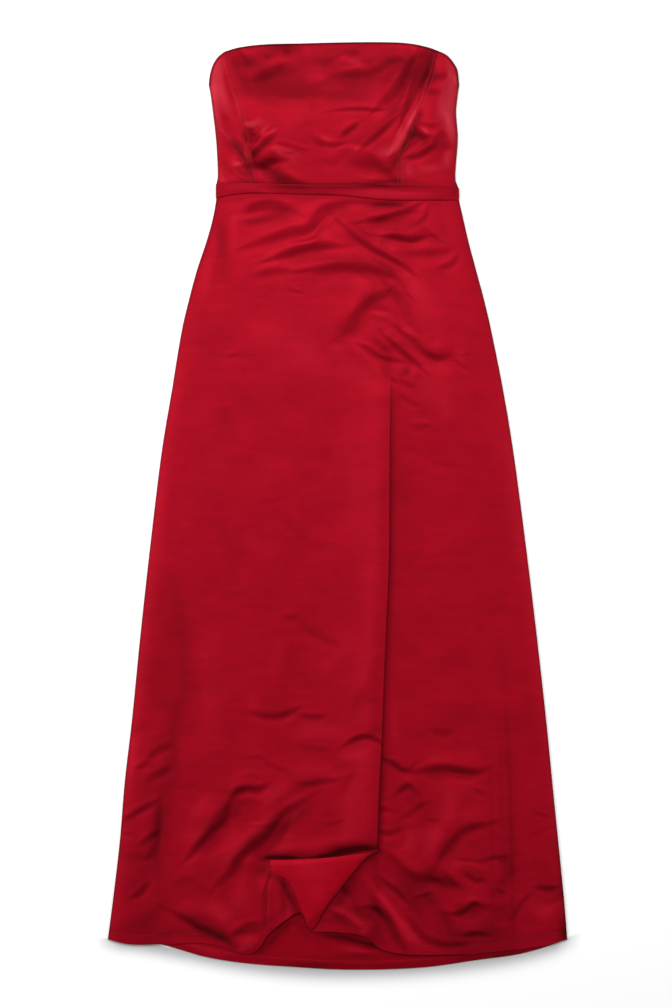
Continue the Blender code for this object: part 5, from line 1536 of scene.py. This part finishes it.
def threadFinish(name, colour):
    finish = Finish(name)
    twist = finish.bands("DIAGONAL", {"Scale": 1400.0})
    strands = finish.mix(twist * 0.4 + finish.noise(300.0) * 0.3, shade(colour, 0.75), shade(colour, 1.2))
    finish.set(base_color=strands, roughness=0.5, normal=finish.bump(twist, 0.00005, 0.7))
    return finish.material


thread = threadFinish("sewingThread", (0.24, 0.003, 0.010, 1.0))
deepThread = threadFinish("hemThread", (0.11, 0.001, 0.004, 1.0))
zipCoil = threadFinish("zipCoil", (0.12, 0.0015, 0.005, 1.0))

# Lines of stitches, laid on the cloth just below its surface so that each shows as a small bead
stitching = {
    "hem": {"Pitch": 0.0042, "Part size": (0.0013, 0.00022, 0.0002), "Unevenness": 0.10, "Seed": 3},
    "bust": {"Pitch": 0.0034, "Part size": (0.0012, 0.0002, 0.00018), "Unevenness": 0.08, "Seed": 8},
    "zip": {"Pitch": 0.0030, "Part size": (0.0011, 0.00022, 0.00016), "Unevenness": 0.08, "Seed": 5},
    "teeth": {"Pitch": 0.0014, "Part size": (0.00045, 0.0013, 0.00028), "Unevenness": 0.04, "Seed": 2},
}


# A line at an even distance inside an edge, in space, on a surface
def besideLine(line, offset, start, end, surface, sink=0.05):
    points = line.at(np.linspace(start, end, int(line.length * (end - start) / 3.0)))
    run = np.gradient(points, axis=0)
    run /= np.linalg.norm(run, axis=-1, keepdims=True)
    spots = points + np.stack([run[:, 1], -run[:, 0]], axis=-1) * offset
    return toSpace(spots, surface(spots[:, 0], spots[:, 1]) - sink)


hemLines = [
    besideLine(hemLeftLine, skirt["hemStitch"], 0.02, 0.83, lambda x, d: leftSurface(x, d)[0], 0.15),
    besideLine(hemRightLine, skirt["hemStitch"], 0.14, 0.98, lambda x, d: rightSurface(x, d)[0], 0.15),
]
hemStitches = rowPiece("hemStitches", hemLines, stitching["hem"], deepThread)
backHemLine = besideLine(hemBackLine, back["hemStitch"], 0.08, 0.92, backTop)
backStitches = rowPiece("backHemStitches", [backHemLine], stitching["hem"], thread)
bustLines = [
    besideLine(line, offset, 0.03, 0.93, lambda x, d: bodiceSurface(x, d, neckLines["centre"])[0])
    for line in (bustLeftLine, bustRightLine) for offset in (-3.4, 3.4)
]
bustStitches = rowPiece("bustSeamStitches", bustLines, stitching["bust"], deepThread)

# Concealed zip within the back wall: two woven tapes, a coil of teeth between and a flat pull at the top
zipSizes = {
    "top": 74.0, "foot": 418.0, "half": 4.0, "slit": 0.12, "rows": 120, "columns": 6, "tapeLow": 0.35,
    "tapeHigh": 1.15, "rib": 0.05, "ribLength": 0.9, "bow": 0.1, "lineSpots": 60, "coilTop": 112.0,
    "coilFoot": 415.0, "coilLow": 0.30, "stitchTop": 78.0, "stitchFoot": 416.0, "stitchLow": 0.30,
    "stitchAcross": 2.9, "pullHalf": (1.6, 2.0, 2.4, 1.4), "pullDown": (80.0, 92.0, 103.0, 108.0),
    "pullLow": 0.02, "pullHigh": 0.33, "pullEdge": 0.2,
}


def zipTape(name, left, right):
    rows, columns = zipSizes["rows"], zipSizes["columns"]
    down, across = np.meshgrid(
        np.linspace(zipSizes["top"], zipSizes["foot"], rows), np.linspace(left, right, columns), indexing="ij"
    )
    plan = np.stack([across, down], axis=-1)
    low = toSpace(plan, zipSizes["tapeLow"] + zipSizes["rib"] * np.sin(down / zipSizes["ribLength"]))
    high = toSpace(plan, np.full(down.shape, zipSizes["tapeHigh"]))
    return shell(name, low, high, zipSizes["bow"], picks(rows, 8), picks(columns, 5), turned=True)


# A straight line down the zip's length
def zipLine(across, top, foot, height):
    down = np.linspace(top, foot, zipSizes["lineSpots"])
    plan = np.stack([np.full(down.shape, across), down], axis=-1)
    return toSpace(plan, np.full(down.shape, height))


def makePull():
    half, down = np.array(zipSizes["pullHalf"]), np.array(zipSizes["pullDown"])
    across = np.concatenate([[-half[0]], half, -half[:0:-1]])
    plan = np.stack([across, np.concatenate([[down[0]], down, down[:0:-1]])], axis=-1)
    count = len(plan)
    sides = [toSpace(plan, np.full(count, zipSizes[key])) for key in ("pullLow", "pullHigh")]
    verts = [tuple(spot) for side in sides for spot in side]
    faces = [tuple(range(count)), tuple(range(2 * count - 1, count - 1, -1))]
    faces += [(k, k + count, (k + 1) % count + count, (k + 1) % count) for k in range(count)]
    piece = placed("zipPull", meshOf("zipPull", verts, [], faces))
    edge = piece.modifiers.new("edge", "BEVEL")
    edge.width, edge.segments, edge.limit_method = zipSizes["pullEdge"] * mm, 3, "ANGLE"
    piece.data.shade_smooth()
    return piece


zipLeft = zipTape("zipTapeLeft", -zipSizes["half"], -zipSizes["slit"])
zipRight = zipTape("zipTapeRight", zipSizes["slit"], zipSizes["half"])
coil = zipLine(0.0, zipSizes["coilTop"], zipSizes["coilFoot"], zipSizes["coilLow"])
zipTeeth = rowPiece("zipTeeth", [coil], stitching["teeth"], zipCoil)
tapeLines = [
    zipLine(across, zipSizes["stitchTop"], zipSizes["stitchFoot"], zipSizes["stitchLow"])
    for across in (-zipSizes["stitchAcross"], zipSizes["stitchAcross"])
]
zipStitches = rowPiece("zipStitches", tapeLines, stitching["zip"], thread)
zipPull = makePull()
print("stitches and zip made")


def tapeFinish():
    finish = Finish("zipTapeWeave")
    rib = finish.bands("Y", {"Scale": 500.0})
    finish.set(
        base_color=finish.mix(rib * 0.35, (0.13, 0.0008, 0.0035, 1.0), (0.17, 0.0012, 0.005, 1.0)),
        roughness=0.72, normal=finish.bump(rib, 0.0001, 0.6), specular_ior_level=0.2,
        specular_tint=(1.0, 0.1, 0.14, 1.0),
    )
    return finish.material


def pullFinish():
    finish = Finish("lacqueredPull")
    worn = finish.noise(900.0, 3.0, 0.6)
    rubbed = (worn * 3.0 - 1.4).between(0.0, 1.0)
    lacquer = finish.mix(rubbed, (0.24, 0.004, 0.01, 1.0), (0.30, 0.02, 0.02, 1.0))
    finish.set(base_color=lacquer, roughness=worn * 0.2 + 0.25, coat_weight=0.4)
    return finish.material


sashBacks = [piece for node, piece in backPieces.items() if "sash" in node]
plainBacks = [piece for node, piece in backPieces.items() if "sash" not in node]
for material, pieces in (
    (cloths["bodice"], [bodiceCentre, bodiceLeft, bodiceRight]), (cloths["skirt"], [skirtLeft, skirtRight]),
    (cloths["corner"], [slitCorner]), (cloths["sash"], [waistSash] + sashBacks),
    (cloths["shadedReverse"], plainBacks), (tapeFinish(), [zipLeft, zipRight]), (pullFinish(), [zipPull]),
):
    for piece in pieces:
        piece.data.materials.append(material)

# What each piece stands for, and the cut of each sheet as width, length and area in metres
sheets = (
    (bodiceCentre, "bodice_front_centre", (0.35, 0.24), 0.063, [bustStitches]),
    (bodiceLeft, "bodice_front_left", (0.07, 0.22), 0.0105, []),
    (bodiceRight, "bodice_front_right", (0.10, 0.22), 0.0155, []),
    (skirtLeft, "skirt_front_left", (0.47, 1.18), 0.43, [hemStitches]),
    (skirtRight, "skirt_front_right", (0.40, 1.18), 0.30, []),
    (slitCorner, "slit_corner", (0.17, 0.16), 0.0085, []),
    (waistSash, "waist_sash_front", (0.38, 0.024), 0.0085, []),
    (backPieces["bodice_back_left"], "bodice_back_left", (0.20, 0.155), 0.0275, []),
    (backPieces["bodice_back_right"], "bodice_back_right", (0.19, 0.155), 0.0265, []),
    (backPieces["waist_sash_back_left"], "waist_sash_back_left", (0.19, 0.023), 0.0032, []),
    (backPieces["waist_sash_back_right"], "waist_sash_back_right", (0.19, 0.022), 0.0037, []),
    (backPieces["skirt_back_left"], "skirt_back_left", (0.36, 1.18), 0.325, [backStitches]),
    (backPieces["skirt_back_right"], "skirt_back_right", (0.36, 1.18), 0.325, []),
)
for piece, node, flat, area, extras in sheets:
    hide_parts(node)
    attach(piece, "root")
    for extra in extras:
        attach(extra, "root")
for piece in (zipLeft, zipRight, zipTeeth, zipStitches, zipPull):
    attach(piece, "root")
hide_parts("centre_back_zip")

# Pale floor with a painted shadow in its colour below the hem, soft studio light and a camera straight above
studio = {
    "floor": (0.66, 0.66, 0.66, 1.0), "floorHalf": 5.0, "floorDown": 0.0003, "floorRough": 0.9, "world": 0.12,
    "shadow": 0.55, "shadowReach": 0.0172, "shadowStart": 0.004, "shadowEnd": 0.37, "shadowEndRun": 0.04,
    "lamps": (
        ("headLight", (-0.2, 2.0, 3.4), (0.0, -0.1, 0.0), (2.4, 1.2), 150.0),
        ("leftLight", (-2.2, 0.0, 2.3), (0.0, 0.0, 0.0), (1.2, 2.4), 82.0),
        ("rightLight", (2.2, 0.0, 2.3), (0.0, 0.0, 0.0), (1.2, 2.4), 46.0),
        ("leftLow", (-1.5, 0.35, 0.42), (0.0, 0.35, 0.0), (0.4, 1.2), 9.0),
        ("rightLow", (1.5, 0.35, 0.42), (0.0, 0.35, 0.0), (0.4, 1.2), 6.0),
    ),
    "camera": (-0.0023, 0.0045, 2.6), "lens": 61.35,
}


def aim(item, target):
    item.rotation_euler = (Vector(target) - item.location).to_track_quat("-Z", "Y").to_euler()


def makeStudio():
    half, down = studio["floorHalf"], studio["floorDown"]
    spots = [(x * half, y * half, -down) for x, y in ((-1, -1), (1, -1), (1, 1), (-1, 1))]
    floor = placed("floor", meshOf("floor", spots, [], [(0, 1, 2, 3)]))
    finish = Finish("paleFloor")
    spot = finish.node("ShaderNodeSeparateXYZ", values={"Vector": finish.place()})
    across, up = finish.value(spot, "X"), finish.value(spot, "Y")
    # Painted shadow: the floor's colour darkens just below the hem's curve, fading away from it and past the
    # hem's ends
    edge = hemBack + hemLeft[1:2] + [(-292.0, 1362.0)]
    hem = np.polyfit([x * mm for x, d in edge], [topY - d * mm for x, d in edge], 7)
    below = float(hem[0])
    for share in hem[1:]:
        below = across * below + float(share)
    below = below - up
    shadow = (below / studio["shadowReach"]) ** 2.0 * -1.0
    shadow = shadow.math("EXPONENT") * (below / studio["shadowStart"] + 1.0).between(0.0, 1.0)
    fromEnd = studio["shadowEnd"] - across.math("ABSOLUTE")
    shadow = shadow * (fromEnd / studio["shadowEndRun"]).between(0.0, 1.0)
    tone = finish.mix(shadow * studio["shadow"], studio["floor"], (0.0, 0.0, 0.0, 1.0))
    finish.set(base_color=tone, roughness=studio["floorRough"], specular_ior_level=0.1)
    floor.data.materials.append(finish.material)
    world = bpy.data.worlds.new("studioWorld")
    world.use_nodes = True
    background = world.node_tree.nodes["Background"]
    background.inputs["Color"].default_value = (1.0, 1.0, 1.0, 1.0)
    background.inputs["Strength"].default_value = studio["world"]
    bpy.context.scene.world = world
    for name, spot, target, size, power in studio["lamps"]:
        lamp = bpy.data.lights.new(name, "AREA")
        lamp.shape, lamp.size, lamp.size_y, lamp.energy = "RECTANGLE", size[0], size[1], power
        holder = placed(name, lamp)
        holder.location = spot
        aim(holder, target)
    view = bpy.data.cameras.new("camera")
    view.lens, view.sensor_width, view.clip_start, view.clip_end = studio["lens"], 36.0, 0.05, 20.0
    camera = placed("camera", view)
    camera.location = studio["camera"]
    bpy.context.scene.camera = camera
    bpy.context.scene.view_settings.view_transform = "Standard"


makeStudio()
print("dress ready")
